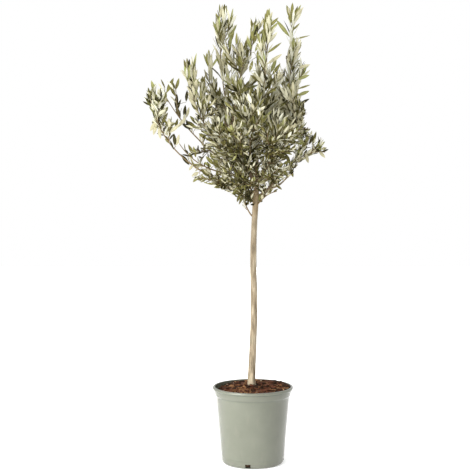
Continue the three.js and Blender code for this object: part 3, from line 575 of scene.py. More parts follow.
class Curve:
    """A line through close points that is read by shares of its length"""

    def __init__(self, points):
        self.points = points
        self.reaches = [0.0]
        for a, b in zip(points, points[1:]):
            self.reaches.append(self.reaches[-1] + (b - a).length)
        self.length = self.reaches[-1]

    def at(self, share):
        place = min(max(share, 0), 1) * self.length
        i = min(max(bisect_right(self.reaches, place) - 1, 0), len(self.points) - 2)
        part = (place - self.reaches[i]) / (self.reaches[i + 1] - self.reaches[i])
        return self.points[i].lerp(self.points[i + 1], part)

    def heading(self, share):
        step = 0.02
        return (self.at(share + step) - self.at(share - step)).normalized()

    def spaced(self, step_length):
        steps = max(3, round(self.length / step_length))
        return [self.at(i / steps) for i in range(steps + 1)]


def bezier(corners, steps=40):
    points = []
    for i in range(steps + 1):
        level = list(corners)
        while len(level) > 1:
            level = [a.lerp(b, i / steps) for a, b in zip(level, level[1:])]
        points.append(level[0])
    return Curve(points)


def risen(heading, degrees):
    """A direction with the level heading of another, at a rise in degrees"""
    level = Vector((heading.x, heading.y, 0)).normalized()
    angle = math.radians(degrees)
    return level * math.cos(angle) + UP * math.sin(angle)


def limb_curve(start, tip, rises):
    across = tip - start
    handle = across.length * LIMB_HANDLE
    first = start + risen(across, rises[0]) * handle
    last = tip - risen(across, rises[1]) * handle
    return bezier([start, first, last, tip])


def stretch(curve, start, end, steps=24):
    """The stretch of a curve between two shares of its length"""
    return Curve([curve.at(lerp(start, end, i / steps)) for i in range(steps + 1)])


def fork_curve(limb, share, tip):
    start = limb.at(share)
    across = tip - start
    handle = across.length / 3
    heading = across.normalized()
    leaving = (limb.heading(share) + heading).normalized()
    ending = (heading + UP * FORK_LIFT).normalized()
    return bezier([start, start + leaving * handle, tip - ending * handle, tip])


def sideways(direction, turn):
    """A direction square to another, at a turn about it"""
    reference = UP if abs(direction.z) < 0.9 else Vector((1, 0, 0))
    first = direction.cross(reference).normalized()
    second = direction.cross(first).normalized()
    return first * math.cos(turn) + second * math.sin(turn)


def twig_curve(start, along, turn, splay, length):
    outward = sideways(along, turn)
    first = along * math.cos(splay) + outward * math.sin(splay)
    last = (first + along * 0.5 + UP * TWIG_LIFT).normalized()
    bend = start + first * length * 0.5
    return bezier([start, bend, bend + last * length * 0.5], 12)


# Growth of the crown

def in_opening(point):
    """Whether a point lies in an opening, as seen from the front"""
    eye = Vector(CAMERA_PLACE) / MM
    nearer = -eye.y / (point.y - eye.y)
    spot = Vector((lerp(eye.x, point.x, nearer), lerp(eye.z, point.z, nearer)))
    for low, high, radius in OPENINGS:
        _, share = intersect_point_line(spot, low, high)
        nearest = Vector(low).lerp(Vector(high), min(max(share, 0), 1))
        if (spot - nearest).length < radius:
            return True
    return False


def inside_crown(point):
    if not CROWN_REACH[0][0] < point.z < CROWN_REACH[-1][0]:
        return False
    left, right, depth = row_at(CROWN_REACH, point.z)
    if (point.x / (left if point.x < 0 else right)) ** 2 + (point.y / depth) ** 2 > 1:
        return False
    is_boxed = all(low < value < high for low, value, high in zip(CAD_LOW, point, CAD_HIGH))
    return is_boxed and not in_opening(point)


@dataclass
class Axis:
    """A limb's curve with its radius at both ends, and what it is"""
    curve: Curve
    start_radius: float
    end_radius: float
    owner: int
    kind: str

    def radius_at(self, share):
        return lerp(self.start_radius, self.end_radius, share)

    def bare_length(self):
        """How far a stem is bare from its start"""
        if self.kind != "stem":
            return 0
        return BARE_TO.get(LIMBS[self.owner][0], 0) * self.curve.length


class Wood:
    """All axes so far, cut into short segments for the tests of space"""

    def __init__(self):
        self.axes = []
        self.starts = np.zeros((0, 3))
        self.ends = np.zeros((0, 3))
        self.radii = np.zeros(0)
        self.owners = np.zeros(0, int)
        self.numbers = np.zeros(0, int)

    def add(self, axis):
        points = np.array(axis.curve.spaced(WOOD_STEP))
        radii = np.linspace(axis.start_radius, axis.end_radius, len(points) - 1)
        self.starts = np.vstack([self.starts, points[:-1]])
        self.ends = np.vstack([self.ends, points[1:]])
        self.radii = np.append(self.radii, radii)
        self.owners = np.append(self.owners, np.full(len(radii), axis.owner))
        self.numbers = np.append(self.numbers, np.full(len(radii), len(self.axes)))
        self.axes.append(axis)

    def gaps(self, points):
        """Distance from each point to the surface of each segment"""
        spans = self.ends - self.starts
        offsets = np.array(points)[:, None, :] - self.starts
        shares = np.clip((offsets * spans).sum(2) / (spans * spans).sum(1), 0, 1)
        return np.linalg.norm(offsets - shares[:, :, None] * spans, axis=2) - self.radii


wood = Wood()


def keeps_to_space(owner, points, clearance, nearness=1):
    """Whether points are inside the crown, clear of the limbs and nearer to their own mass"""
    if not all(inside_crown(point) for point in points):
        return False
    gaps = wood.gaps(points)
    limbs = gaps[:, wood.owners == LIMB_OWNER].min(1)
    own = np.maximum(gaps[:, wood.owners == owner].min(1), 0)
    others = gaps[:, (wood.owners != owner) & (wood.owners != LIMB_OWNER)].min(1)
    return bool((limbs > clearance).all() and (others > own * nearness + clearance).all())


def grow_limbs():
    """Curves of all limbs, with the trunk's crown and the boughs as axes"""
    crown_rows = [row for row in TRUNK_ROWS if row[0] >= CROWN_START]
    trunk_curve = Curve([Vector((x, y, height)) for height, x, y, _ in crown_rows])
    wood.add(Axis(trunk_curve, crown_rows[0][3], crown_rows[-1][3], LIMB_OWNER, "trunk"))
    curves = {}
    boughs = []
    for name, parent, place, tip, rises, share, _ in LIMBS:
        if parent == "trunk":
            x, y, _ = row_at(TRUNK_ROWS, place)
            start = Vector((x, y, place))
        else:
            start = curves[parent].at(place)
        curves[name] = limb_curve(start, Vector(tip), rises)
        if share:
            radius = BOUGH_TRUNK_RADIUS if parent == "trunk" else BOUGH_LIMB_RADIUS
            axis = Axis(stretch(curves[name], 0, share), radius, BOUGH_END_RADIUS, LIMB_OWNER, "bough")
            wood.add(axis)
            boughs.append(axis)
    return curves, boughs


def grow_masses(curves):
    """Stems, forks, side twigs and finer twigs of every mass"""
    for index, (name, _, _, _, _, share, _) in enumerate(LIMBS):
        stem = stretch(curves[name], share, 1)
        wood.add(Axis(stem, STEM_RADIUS, STEM_TIP_RADIUS, index, "stem"))
    for index, (name, *_, forks) in enumerate(LIMBS):
        for share, *tip in forks:
            curve = fork_curve(curves[name], share, Vector(tip))
            if keeps_to_space(index, curve.spaced(FORK_STEP)[1:], TWIG_CLEARANCE, FORK_NEARNESS):
                wood.add(Axis(curve, FORK_RADIUS, STEM_TIP_RADIUS, index, "fork"))
    for later, (kinds, highest, spacing) in enumerate(TWIG_ROUNDS):
        for index in range(len(LIMBS)):
            chance = Chance(GROWTH_SEED + later + index * SEED_STEP)
            for axis in [axis for axis in wood.axes if axis.owner == index and axis.kind in kinds]:
                if axis.curve.at(0.5).z < highest:
                    grow_twigs(axis, chance, spacing)


def grow_twigs(axis, chance, spacing):
    """Side twigs of one axis, a golden angle apart and fewer on the tall shoots"""
    total = axis.curve.length
    turn = chance.between(FULL_TURN)
    place = max(spacing / 2, axis.bare_length())
    rate = TWIG_RATE.get(LIMBS[axis.owner][0], 1)
    while place < total * TWIG_HIGHEST:
        share = place / total
        turn += GOLDEN_ANGLE + chance.between(TWIG_TURN)
        splay = math.radians(chance.between(TWIG_SPLAY))
        length = min(TWIG_LONGEST, (total - place) * chance.between(TWIG_SHARE) + TWIG_LEAST)
        start = axis.curve.at(share)
        along = axis.curve.heading(share)
        high = smoothstep(start.z, SHOOT_LOW, SHOOT_HIGH)
        place += spacing * lerp(1, SHOOT_SPACING, high) * rate * chance.between(TWIG_GAPS)
        for part in TWIG_SHORTENED:
            curve = twig_curve(start, along, turn, splay, length * part)
            if keeps_to_space(axis.owner, curve.spaced(TWIG_STEP)[2:], TWIG_CLEARANCE):
                radius = min(TWIG_RADIUS, axis.radius_at(share) * TWIG_THINNER)
                wood.add(Axis(curve, radius, TWIG_TIP_RADIUS, axis.owner, "twig"))
                break


@dataclass
class Blade:
    """One leaf: its base, its direction, the way its upper face looks, its size and its spray"""
    base: Vector
    along: Vector
    face: Vector
    length: float
    width: float
    curl: float
    spray: int
    tint: int = None

    def midrib(self):
        return [self.base + self.along * self.length * share for share in MIDRIB_SHARES]


class Blades:
    """The leaves that are kept, and the places they take up"""

    cell = 6

    def __init__(self):
        self.kept = []
        self.taken = {}

    def cell_of(self, point):
        return tuple(math.floor(value / self.cell) for value in point)

    def is_free(self, points):
        for point in points:
            x, y, z = self.cell_of(point)
            near = [(x + i, y + j, z + k) for i in (-1, 0, 1) for j in (-1, 0, 1) for k in (-1, 0, 1)]
            for other in [other for cell in near for other in self.taken.get(cell, ())]:
                if (other - point).length < LEAF_APART:
                    return False
        return True

    def keep(self, blade):
        self.kept.append(blade)
        for point in blade.midrib():
            self.taken.setdefault(self.cell_of(point), []).append(point)

    def try_leaf(self, blade):
        """Keeps a leaf, or a shorter one, inside the crown and clear of the wood and of other leaves"""
        full = blade.length
        for part in LEAF_SHORTENED:
            blade.length = full * part
            points = blade.midrib()
            if not all(inside_crown(point) for point in points):
                continue
            gaps = wood.gaps(points)
            gaps[0][wood.numbers == blade.spray] = math.inf
            if gaps.min() >= LEAF_CLEARANCE and self.is_free(points):
                self.keep(blade)
                return


def leaf_size(height, chance):
    share = smoothstep(height, LEAF_LOW_HEIGHT, LEAF_HIGH_HEIGHT)
    length = lerp(LEAF_LOW_LENGTH, LEAF_HIGH_LENGTH, share) * chance.between(LEAF_LENGTHS)
    narrow = smoothstep(height, LEAF_WIDE_HEIGHT, LEAF_NARROW_HEIGHT)
    width = length * lerp(LEAF_LOW_WIDTH, LEAF_HIGH_WIDTH, narrow) * chance.between(LEAF_WIDTHS)
    return length, width


def grow_spur(foot):
    """A short thin twig from the nearest wood to the foot of a lone leaf"""
    gaps = wood.gaps([foot])[0]
    nearest = int(gaps.argmin())
    if gaps[nearest] < 0:
        return
    start, end = Vector(wood.starts[nearest]), Vector(wood.ends[nearest])
    bend = start + (end - start).normalized() * (foot - start).length * SPUR_BEND
    wood.add(Axis(bezier([start, bend, foot], 8), SPUR_RADIUS, TWIG_TIP_RADIUS, SPUR_OWNER, "spur"))


def grow_lone_leaves(blades):
    """The single long leaves, each with one of its faces to the front"""
    for foot, tip, width, tint in LONE_LEAVES:
        base = Vector(foot)
        grow_spur(base)
        reach = Vector(tip) - base
        along = reach.normalized()
        face = along.cross(FRONT.cross(along)).normalized()
        if tint >= GREY:
            face.negate()
        blades.keep(Blade(base, along, face, reach.length, width, reach.length * LONE_CURL, 0, tint))


def grow_pair(blades, number, place, turn, chance):
    """Two leaves that face each other: more upright high up, smaller towards the limb's tip"""
    axis = wood.axes[number]
    share = place / axis.curve.length
    base = axis.curve.at(share)
    along = axis.curve.heading(share)
    young = min(1, (axis.curve.length - place) / YOUNG_STRETCH)
    size = lerp(YOUNG_SIZE, 1, young)
    lift = lerp(*LEAF_LIFT, smoothstep(base.z, LEAF_LOW_HEIGHT, LEAF_UPRIGHT_HEIGHT))
    for side in (0, math.pi):
        outward = sideways(along, turn + side + chance.between(PAIR_TURN))
        splay = math.radians(chance.between(LEAF_SPLAY)) * lerp(YOUNG_SPLAY, 1, young)
        direction = along * math.cos(splay) + outward * math.sin(splay) + UP * lift
        direction.normalize()
        face = direction.cross(along.cross(outward)).normalized()
        face.rotate(Quaternion(direction, math.radians(chance.between(LEAF_ROLL))))
        length, width = leaf_size(base.z, chance)
        root = base + outward * axis.radius_at(share) * LEAF_ROOT
        curl = chance.between(LEAF_CURL) * length
        blades.try_leaf(Blade(root, direction, face, length * size, width * size, curl, number))


def grow_leaves():
    """Leaves in pairs along every stem, fork and twig, and one at its tip"""
    blades = Blades()
    grow_lone_leaves(blades)
    for number, axis in enumerate(wood.axes):
        if axis.owner in (LIMB_OWNER, SPUR_OWNER):
            continue
        chance = Chance(GROWTH_SEED + number * LEAF_SEED_STEP)
        turn = chance.between(FULL_TURN)
        rate = LEAF_RATE.get(LIMBS[axis.owner][0], 1)
        place = LEAF_FIRST
        while place < axis.curve.length - LEAF_LAST:
            turn += math.pi / 2 + chance.between(LEAF_TURN)
            grow_pair(blades, number, place, turn, chance)
            high = smoothstep(axis.curve.at(place / axis.curve.length).z, LEAF_LOW_HEIGHT, LEAF_HIGH_HEIGHT)
            spacing = lerp(LEAF_LOW_SPACING, LEAF_HIGH_SPACING, high) * rate
            is_bare = place < axis.bare_length()
            place += spacing * chance.between(LEAF_GAPS) * (BARE_SPACING if is_bare else 1)
        end, end_heading = axis.curve.at(1), axis.curve.heading(1)
        length, width = leaf_size(end.z, chance)
        face = sideways(end_heading, turn)
        size, narrower = END_LEAF
        root = end - end_heading * 0.5
        blades.try_leaf(Blade(root, end_heading, face, length * size, width * narrower, 0, number))
    return blades.kept


# Meshes

def object_from_mesh(name, mesh, materials):
    piece = bpy.data.objects.new(name, mesh)
    bpy.context.scene.collection.objects.link(piece)
    for material in materials:
        mesh.materials.append(material)
    return piece


def joined(name, shapes, materials, smooth=True, sharp_angle=180):
    """Many small shapes (points, faces, UVs and tints, in millimetres) as one piece in metres"""
    points, faces, uvs, tints = [], [], [], []
    for shape_points, shape_faces, shape_uvs, shape_tints in shapes:
        first = len(points)
        points += shape_points
        faces += [tuple(first + i for i in face) for face in shape_faces]
        uvs += shape_uvs
        tints += shape_tints
    mesh = bpy.data.meshes.new(name)
    mesh.from_pydata((np.array(points) * MM).tolist(), [], faces)
    mesh.polygons.foreach_set("use_smooth", [smooth] * len(faces))
    mesh.polygons.foreach_set("material_index", tints)
    corners = np.zeros(len(mesh.loops), int)
    mesh.loops.foreach_get("vertex_index", corners)
    mesh.uv_layers.new(name="grain").data.foreach_set("uv", np.array(uvs, np.float32)[corners].ravel())
    mesh.update()
    if sharp_angle < 180:
        mesh.set_sharp_from_angle(angle=math.radians(sharp_angle))
    return object_from_mesh(name, mesh, materials)


def finished(bm, name, materials, smooth_angle=40):
    """A bmesh in metres as an object, with its normals outward"""
    bmesh.ops.recalc_face_normals(bm, faces=bm.faces)
    mesh = bpy.data.meshes.new(name)
    bm.to_mesh(mesh)
    bm.free()
    mesh.polygons.foreach_set("use_smooth", [True] * len(mesh.polygons))
    mesh.set_sharp_from_angle(angle=math.radians(smooth_angle))
    return object_from_mesh(name, mesh, materials)


def revolved(profile, sides, merge_distance):
    """A bmesh of a profile's points turned about Z"""
    bm = bmesh.new()
    verts = [bm.verts.new(point) for point in profile]
    edges = [bm.edges.new(pair) for pair in zip(verts, verts[1:])]
    bmesh.ops.spin(bm, geom=verts + edges, cent=(0, 0, 0), axis=(0, 0, 1), angle=2 * math.pi,
                   steps=sides, use_merge=True)
    bmesh.ops.remove_doubles(bm, verts=bm.verts, dist=merge_distance)
    return bm


def ring_faces(rings, sides):
    """Faces of a stack of rings that is closed at both ends"""
    faces = []
    for first in range(0, (rings - 1) * sides, sides):
        for j in range(sides):
            a, b = first + j, first + (j + 1) % sides
            faces.append((a, b, b + sides, a + sides))
    top = range((rings - 1) * sides, rings * sides)
    return faces + [tuple(reversed(range(sides))), tuple(top)]


def tube(axis, sides, step_length, tint, root_flare=0):
    """A round tapering limb along an axis, closed at both ends"""
    centres = axis.curve.spaced(step_length)
    normal = sideways(axis.curve.heading(0), 0)
    points, uvs = [], []
    for i, centre in enumerate(centres):
        share = i / (len(centres) - 1)
        heading = axis.curve.heading(share)
        normal = (normal - heading * normal.dot(heading)).normalized()
        binormal = heading.cross(normal)
        place = share * axis.curve.length
        radius = axis.radius_at(share) + root_flare * math.exp(-place / FLARE_REACH)
        for j in range(sides):
            angle = 2 * math.pi * j / sides
            points.append(centre + (normal * math.cos(angle) + binormal * math.sin(angle)) * radius)
            uvs.append((j / sides, place * MM))
    faces = ring_faces(len(centres), sides)
    return points, faces, uvs, [tint] * len(faces)


def leaf_faces():
    """Faces of a leaf: four-sided rings between its stations, and a fan at each end"""
    sides = [(k, (k + 1) % 4) for k in range(4)]
    last = 4 * len(LEAF_STATIONS) - 3
    faces = [(0, 1 + b, 1 + a) for a, b in sides]
    for first in range(1, last, 4):
        faces += [(first + a, first + b, first + b + 4, first + a + 4) for a, b in sides]
    return faces + [(last + a, last + b, last + 4) for a, b in sides]


def leaf_shape(blade, faces, upper, lower):
    """A closed thin leaf, folded a little along its midrib and bent over at its tip"""
    across = blade.along.cross(blade.face)

    def place(share, side, height):
        bend = -blade.curl * share * share
        return (blade.base + blade.along * blade.length * share
                + across * side + blade.face * (height + bend))

    points = [place(0, 0, 0)]
    uvs = [(0.5, 0)]
    for share, breadth in LEAF_STATIONS:
        side = blade.width / 2 * breadth
        fold = side * LEAF_FOLD
        points += [
            place(share, -side, fold),
            place(share, 0, LEAF_THICKNESS * 0.4),
            place(share, side, fold),
            place(share, 0, -LEAF_THICKNESS * 0.6),
        ]
        uvs += [(0, share), (0.5, share), (1, share), (0.5, share)]
    tints = [upper, upper, lower, lower] * (len(LEAF_STATIONS) + 1)
    return points + [place(1, 0, 0)], faces, uvs + [(0.5, 1)], tints


# Pot and mulch

def inner_radius_at(height):
    rows = [
        (POT_FLOOR, BODY_FOOT_RADIUS - POT_CORNER),
        (POT_CORNER, BODY_FOOT_RADIUS - POT_WALL),
        (COLLAR_FOOT - POT_WALL, BODY_TOP_RADIUS - POT_WALL),
        (COLLAR_FOOT + POT_WALL, COLLAR_FOOT_RADIUS - POT_WALL),
        (LIP_FOOT, COLLAR_TOP_RADIUS - POT_WALL),
        (POT_HEIGHT, MOUTH_RADIUS),
    ]
    return row_at(rows, height)[0]


def body_point(height, proud=0):
    """A point of the tapering outer wall, as radius and height"""
    share = (height - POT_CORNER) / (COLLAR_FOOT - POT_CORNER)
    return (lerp(BODY_FOOT_RADIUS, BODY_TOP_RADIUS, share) + proud, height)


def corner_point(height):
    """A point of the rounded outer corner at the pot's foot"""
    drop = POT_CORNER - height
    return (BODY_FOOT_RADIUS - POT_CORNER + math.sqrt(POT_CORNER ** 2 - drop ** 2), height)


def lip_point(degrees):
    """A point of the lip's round, from its outer side to its top"""
    angle = math.radians(degrees)
    return (LIP_RADIUS - LIP_ROUND + LIP_ROUND * math.cos(angle),
            POT_HEIGHT - LIP_ROUND + LIP_ROUND * math.sin(angle))


def outer_profile():
    """Radius and height of the pot's outer side, from the underside's centre up to the lip"""
    return [
        (FOOT_RING_RADIUS - 2, FOOT_RECESS),
        (FOOT_RING_RADIUS, 0),
        (BODY_FOOT_RADIUS - POT_CORNER, 0),
        *[corner_point(height) for height in (0.4, 1.6, SLOT_BOTTOM, 7.5, POT_CORNER)],
        *[body_point(height) for height in (SLOT_TOP, 21, BAND_HEIGHT - BAND_HALF)],
        *[body_point(height, BAND_DEPTH) for height in (BAND_HEIGHT, BAND_HEIGHT + BAND_HALF)],
        *[body_point(height) for height in (BAND_HEIGHT + 4, *BODY_RINGS)],
        (BODY_TOP_RADIUS, COLLAR_FOOT - 2),
        (BODY_TOP_RADIUS + 0.7, COLLAR_FOOT - 0.8),
        (COLLAR_FOOT_RADIUS - 1, COLLAR_FOOT + 0.6),
        (COLLAR_FOOT_RADIUS, COLLAR_FOOT + 2.2),
        (lerp(COLLAR_FOOT_RADIUS, COLLAR_TOP_RADIUS, 0.5), lerp(COLLAR_FOOT, LIP_FOOT, 0.55)),
        (COLLAR_TOP_RADIUS - 0.2, LIP_FOOT - 1),
        (COLLAR_TOP_RADIUS + 0.8, LIP_FOOT),
        (LIP_RADIUS - 1.2, LIP_FOOT),
        (LIP_RADIUS - 0.2, LIP_FOOT + 0.8),
        *[lip_point(degrees) for degrees in range(0, 91, 15)],
    ]


def inner_profile():
    """Radius and height of the pot's inner side, from its mouth down to its floor"""
    heights = [
        LIP_FOOT, lerp(COLLAR_FOOT, LIP_FOOT, 0.5), COLLAR_FOOT + 2, COLLAR_FOOT - 2,
        *BODY_RINGS[2::-1], SLOT_TOP, POT_CORNER, SLOT_BOTTOM + 0.5,
    ]
    return [
        (MOUTH_RADIUS + 1, POT_HEIGHT - 0.1),
        (MOUTH_RADIUS, POT_HEIGHT - 1),
        *[(inner_radius_at(height), height) for height in heights],
        (BODY_FOOT_RADIUS - POT_CORNER - 2, POT_FLOOR),
    ]


def nearest_height(rows, height):
    """The height of the profile point nearest to a height"""
    return min(rows, key=lambda row: abs(row[1] - height))[1]


def make_pot(material):
    outer, inner = outer_profile(), inner_profile()
    first_angle = math.radians(SLOT_FIRST_ANGLE) - math.pi * SLOT_SIDES / POT_SIDES
    turned = Matrix.Rotation(first_angle, 3, "Z")
    profile = [turned @ Vector((radius * MM, 0, height * MM)) for radius, height in outer + inner]
    bm = revolved(profile, POT_SIDES, merge_distance=1e-6)
    bmesh.ops.holes_fill(bm, edges=[edge for edge in bm.edges if edge.is_boundary], sides=POT_SIDES)
    slot_ends = {
        is_outer: [nearest_height(rows, height) for height in (SLOT_BOTTOM, SLOT_TOP)]
        for is_outer, rows in ((True, outer[3:]), (False, inner))
    }
    cut_slots(bm, slot_ends, first_angle)
    return finished(bm, "pot_shell", [material], smooth_angle=35)


def cut_slots(bm, slot_ends, first_angle):
    """Opens the drain slots at the foot of the wall, from outside to inside"""
    side_angle = 2 * math.pi / POT_SIDES
    slot_step = POT_SIDES // SLOT_COUNT

    def in_slot(face):
        centre = face.calc_center_median() / MM
        radius = math.hypot(centre.x, centre.y)
        low, high = slot_ends[radius > inner_radius_at(centre.z) + POT_WALL / 2]
        if not low - 0.01 < centre.z < high + 0.01:
            return False
        turn = (math.atan2(centre.y, centre.x) - first_angle) % (2 * math.pi)
        return int(turn / side_angle) % slot_step < SLOT_SIDES and len(face.verts) == 4

    bmesh.ops.delete(bm, geom=[face for face in bm.faces if in_slot(face)], context="FACES")
    open_edges = [edge for edge in bm.edges if edge.is_boundary]
    for slot in range(SLOT_COUNT):
        middle = first_angle + (slot * slot_step + SLOT_SIDES / 2) * side_angle
        ahead = Vector((math.cos(middle), math.sin(middle), 0))
        here = [edge for edge in open_edges if edge.verts[0].co.normalized().dot(ahead) > 0.9]
        bmesh.ops.bridge_loops(bm, edges=here)


def mulch_height_at(x, y):
    """Height of the mulch: lower at the left, higher at the right, the back and round the trunk"""
    slope = (MULCH_SLOPE_RIGHT * x + MULCH_SLOPE_BACK * y) / MOUTH_RADIUS
    _, foot_x, foot_y, _ = TRUNK_ROWS[0]
    reach = math.hypot(x - foot_x, y - foot_y) / MOUND_RADIUS
    mound = MOUND_HEIGHT * math.exp(-reach * reach * MOUND_FALL)
    lump = noise.fractal(Vector((x, y, 0)) * LUMP_SCALE, 0.8, 2, 3) * MULCH_LUMP
    side_drop = smoothstep(-x, HOLLOW_LEFT, MOUTH_RADIUS) * MULCH_HOLLOW
    return POT_HEIGHT - MULCH_DROP + slope + mound + lump - side_drop


def make_mulch_bed(material):
    """The solid fill of the pot, with a lumpy top"""
    wall_heights = (MULCH_FOOT, *MULCH_WALL_RINGS)
    profile = [
        (0, 0, MULCH_FOOT),
        *[(inner_radius_at(height) - MULCH_GAP, 0, height) for height in wall_heights],
        *[(MOUTH_RADIUS * (1 - i / MULCH_RINGS), 0, POT_HEIGHT) for i in range(MULCH_RINGS)],
        (0, 0, POT_HEIGHT),
    ]
    bm = revolved(profile, MULCH_SIDES, merge_distance=1e-4)
    for vert in bm.verts:
        x, y, z = vert.co
        if z > POT_HEIGHT - 1:
            height = mulch_height_at(x, y) - MULCH_SUNK
            height += noise.fractal(Vector((x, y, 40)) * CRUMB_SCALE, 0.7, 2, 3) * MULCH_CRUMB
            radius = math.hypot(x, y)
            pull = min(1, (inner_radius_at(height) - MULCH_GAP) / radius) if radius else 1
            vert.co = Vector((x * pull, y * pull, min(height, POT_HEIGHT - 0.5)))
    bmesh.ops.scale(bm, vec=(MM, MM, MM), verts=bm.verts)
    return finished(bm, "mulch_bed", [material], smooth_angle=60)


def chip_shape(centre, turned, size, chance, tint):
    """A ragged flake of bark: a jagged outline with a narrower top and bottom"""
    length, width, thickness = size
    outline = []
    for k in range(CHIP_CORNERS):
        angle = 2 * math.pi * k / CHIP_CORNERS
        reach = chance.between(CHIP_RAGGED)
        outline.append((math.cos(angle) * length / 2 * reach, math.sin(angle) * width / 2 * reach))
    bow = chance.between(CHIP_BOW) * length
    points, uvs = [], []
    for level, inset in CHIP_LAYERS:
        for x, y in outline:
            rise = level * thickness * chance.between(CHIP_RELIEF) + bow * (x * 2 / length) ** 2
            points.append(centre + turned @ Vector((x * inset, y * inset, rise)))
            uvs.append((x * MM * CHIP_GRAIN, y * MM * CHIP_GRAIN))
    faces = ring_faces(len(CHIP_LAYERS), CHIP_CORNERS)
    return points, faces, uvs, [tint] * len(faces)


def chip_tint(x, y, length, chance):
    """Dark and red-brown chips everywhere, tan and brown ones before the trunk, and a few short pale ones"""
    roll = chance.next()
    warm = smoothstep(WARM_BACK - y, 0, WARM_BACK_FADE) * smoothstep(WARM_RIGHT - x, 0, WARM_RIGHT_FADE)
    warm *= smoothstep(y, *WARM_FRONT)
    behind = smoothstep(y, *BEHIND_TRUNK)
    for tint, share, warmer, further in CHIP_SHARES:
        is_long = tint == CHIP_PALE and length >= CHIP_PALE_LENGTH
        if roll < share + warmer * warm + further * behind and not is_long:
            return tint
    return CHIP_RED


def make_chips(materials):
    chance = Chance(CHIP_SEED)
    _, foot_x, foot_y, foot_radius = TRUNK_ROWS[0]
    shapes = []
    while len(shapes) < CHIP_COUNT:
        angle = chance.between(FULL_TURN)
        reach = (MOUTH_RADIUS - CHIP_MARGIN) * math.sqrt(chance.next())
        x, y = reach * math.cos(angle), reach * math.sin(angle)
        length = lerp(*CHIP_LENGTH, chance.next() ** CHIP_SHORTER)
        size = (length, length * chance.between(CHIP_WIDTH), chance.between(CHIP_THICKNESS))
        trunk_gap = math.hypot(x - foot_x, y - foot_y) - foot_radius
        wall_gap = inner_radius_at(POT_HEIGHT - MULCH_DROP) - reach
        if trunk_gap < length * CHIP_TRUNK_SHARE or wall_gap < length * CHIP_WALL_SHARE + 0.5:
            continue
        pile = math.exp(-trunk_gap / CHIP_PILE_REACH)
        tilt = min(CHIP_TILT, CHIP_TILT_LENGTH / length) * (1 + pile)
        turned = (Matrix.Rotation(chance.between(FULL_TURN), 3, "Z")
                  @ Matrix.Rotation(chance.between((-tilt, tilt)), 3, "Y")
                  @ Matrix.Rotation(chance.between(CHIP_ROLL), 3, "X"))
        height = mulch_height_at(x, y) + chance.between(CHIP_LIFT) + pile * CHIP_PILE
        tint = chip_tint(x, y, length, chance)
        shapes.append(chip_shape(Vector((x, y, height)), turned, size, chance, tint))
    return joined("mulch_chips", shapes, materials, smooth=False)


# Bark

def trunk_shape():
    """The trunk as a smooth tube with level rings and a flat foot"""
    heights = [*range(TRUNK_FOOT, TRUNK_TOP, TRUNK_RING_STEP), TRUNK_TOP]
    points = []
    for height in heights:
        steps = TRUNK_EVENED if height >= TRUNK_EVENED_FROM else (0,)
        rows = [row_at(TRUNK_ROWS, height + step) for step in steps]
        x, y, radius = (sum(values) / len(rows) for values in zip(*rows))
        for j in range(TRUNK_SIDES):
            angle = 2 * math.pi * j / TRUNK_SIDES
            points.append(Vector((x + radius * math.cos(angle), y + radius * math.sin(angle), height)))
    faces = ring_faces(len(heights), TRUNK_SIDES)
    return points, faces, [(0, 0)] * len(points), [0] * len(faces)


def scar_centre():
    x, y, radius = row_at(TRUNK_ROWS, SCAR_HEIGHT)
    angle = math.radians(SCAR_ANGLE)
    return Vector((x + radius * math.cos(angle), y + radius * math.sin(angle), SCAR_HEIGHT))


def scaled(point, scales):
    return Vector([value * scale for value, scale in zip(point, scales)])


def bark_relief(point):
    """How far the bark stands out: long furrows, slow swells and rings, the bud scar and the roots"""
    furrows = noise.fractal(scaled(point, FURROW_SCALES), 0.7, 2.1, 4)
    swells = noise.noise(scaled(point, SWELL_SCALES))
    rings = noise.noise(Vector((3, 7, point.z * RING_SCALE))) ** 2
    scar = (point - scar_centre()).length / SCAR_RADIUS
    bud = SCAR_RIM * math.exp(-((scar - 1) * SCAR_SHARPNESS) ** 2) - math.exp(-(scar * 2) ** 2)
    roots = noise.noise(Vector((point.x * ROOT_SCALE, point.y * ROOT_SCALE, 11))) + 0.2
    foot = ROOT_RELIEF * math.exp(-(point.z - TRUNK_FOOT) / ROOT_REACH)
    return furrows * BARK_FURROW + swells * BARK_SWELL + rings * BARK_RING + bud + roots * foot


def make_bark(boughs, materials):
    """Trunk and boughs fused into one skin, with the bark's relief"""
    shapes = [trunk_shape()]
    shapes += [tube(axis, BOUGH_SIDES, BOUGH_RING_STEP, 0, ROOT_FLARE) for axis in boughs]
    piece = joined("bark", shapes, materials)
    skin = piece.modifiers.new("skin", "REMESH")
    skin.mode = "VOXEL"
    skin.voxel_size = BARK_GRAIN * MM
    mesh = bpy.data.meshes.new_from_object(piece.evaluated_get(bpy.context.evaluated_depsgraph_get()))
    piece.modifiers.clear()
    bm = bmesh.new()
    bm.from_mesh(mesh)
    for _ in range(BARK_SMOOTHINGS):
        bmesh.ops.smooth_vert(bm, verts=bm.verts, factor=0.5, use_axis_x=True, use_axis_y=True,
                              use_axis_z=True)
    bm.normal_update()
    moves = []
    for vert in bm.verts:
        point = vert.co / MM
        rise = smoothstep(point.z, TRUNK_FOOT, TRUNK_FOOT + BARK_RELIEF_RISE)
        moves.append(vert.normal * bark_relief(point) * rise * MM)
    for vert, move in zip(bm.verts, moves):
        vert.co += move
    scar = scar_centre() * MM
    for face in bm.faces:
        face.smooth = True
        face.material_index = int((face.calc_center_median() - scar).length < SCAR_RADIUS * SCAR_SHARE * MM)
    bm.to_mesh(mesh)
    bm.free()
    piece.data = mesh
    return piece


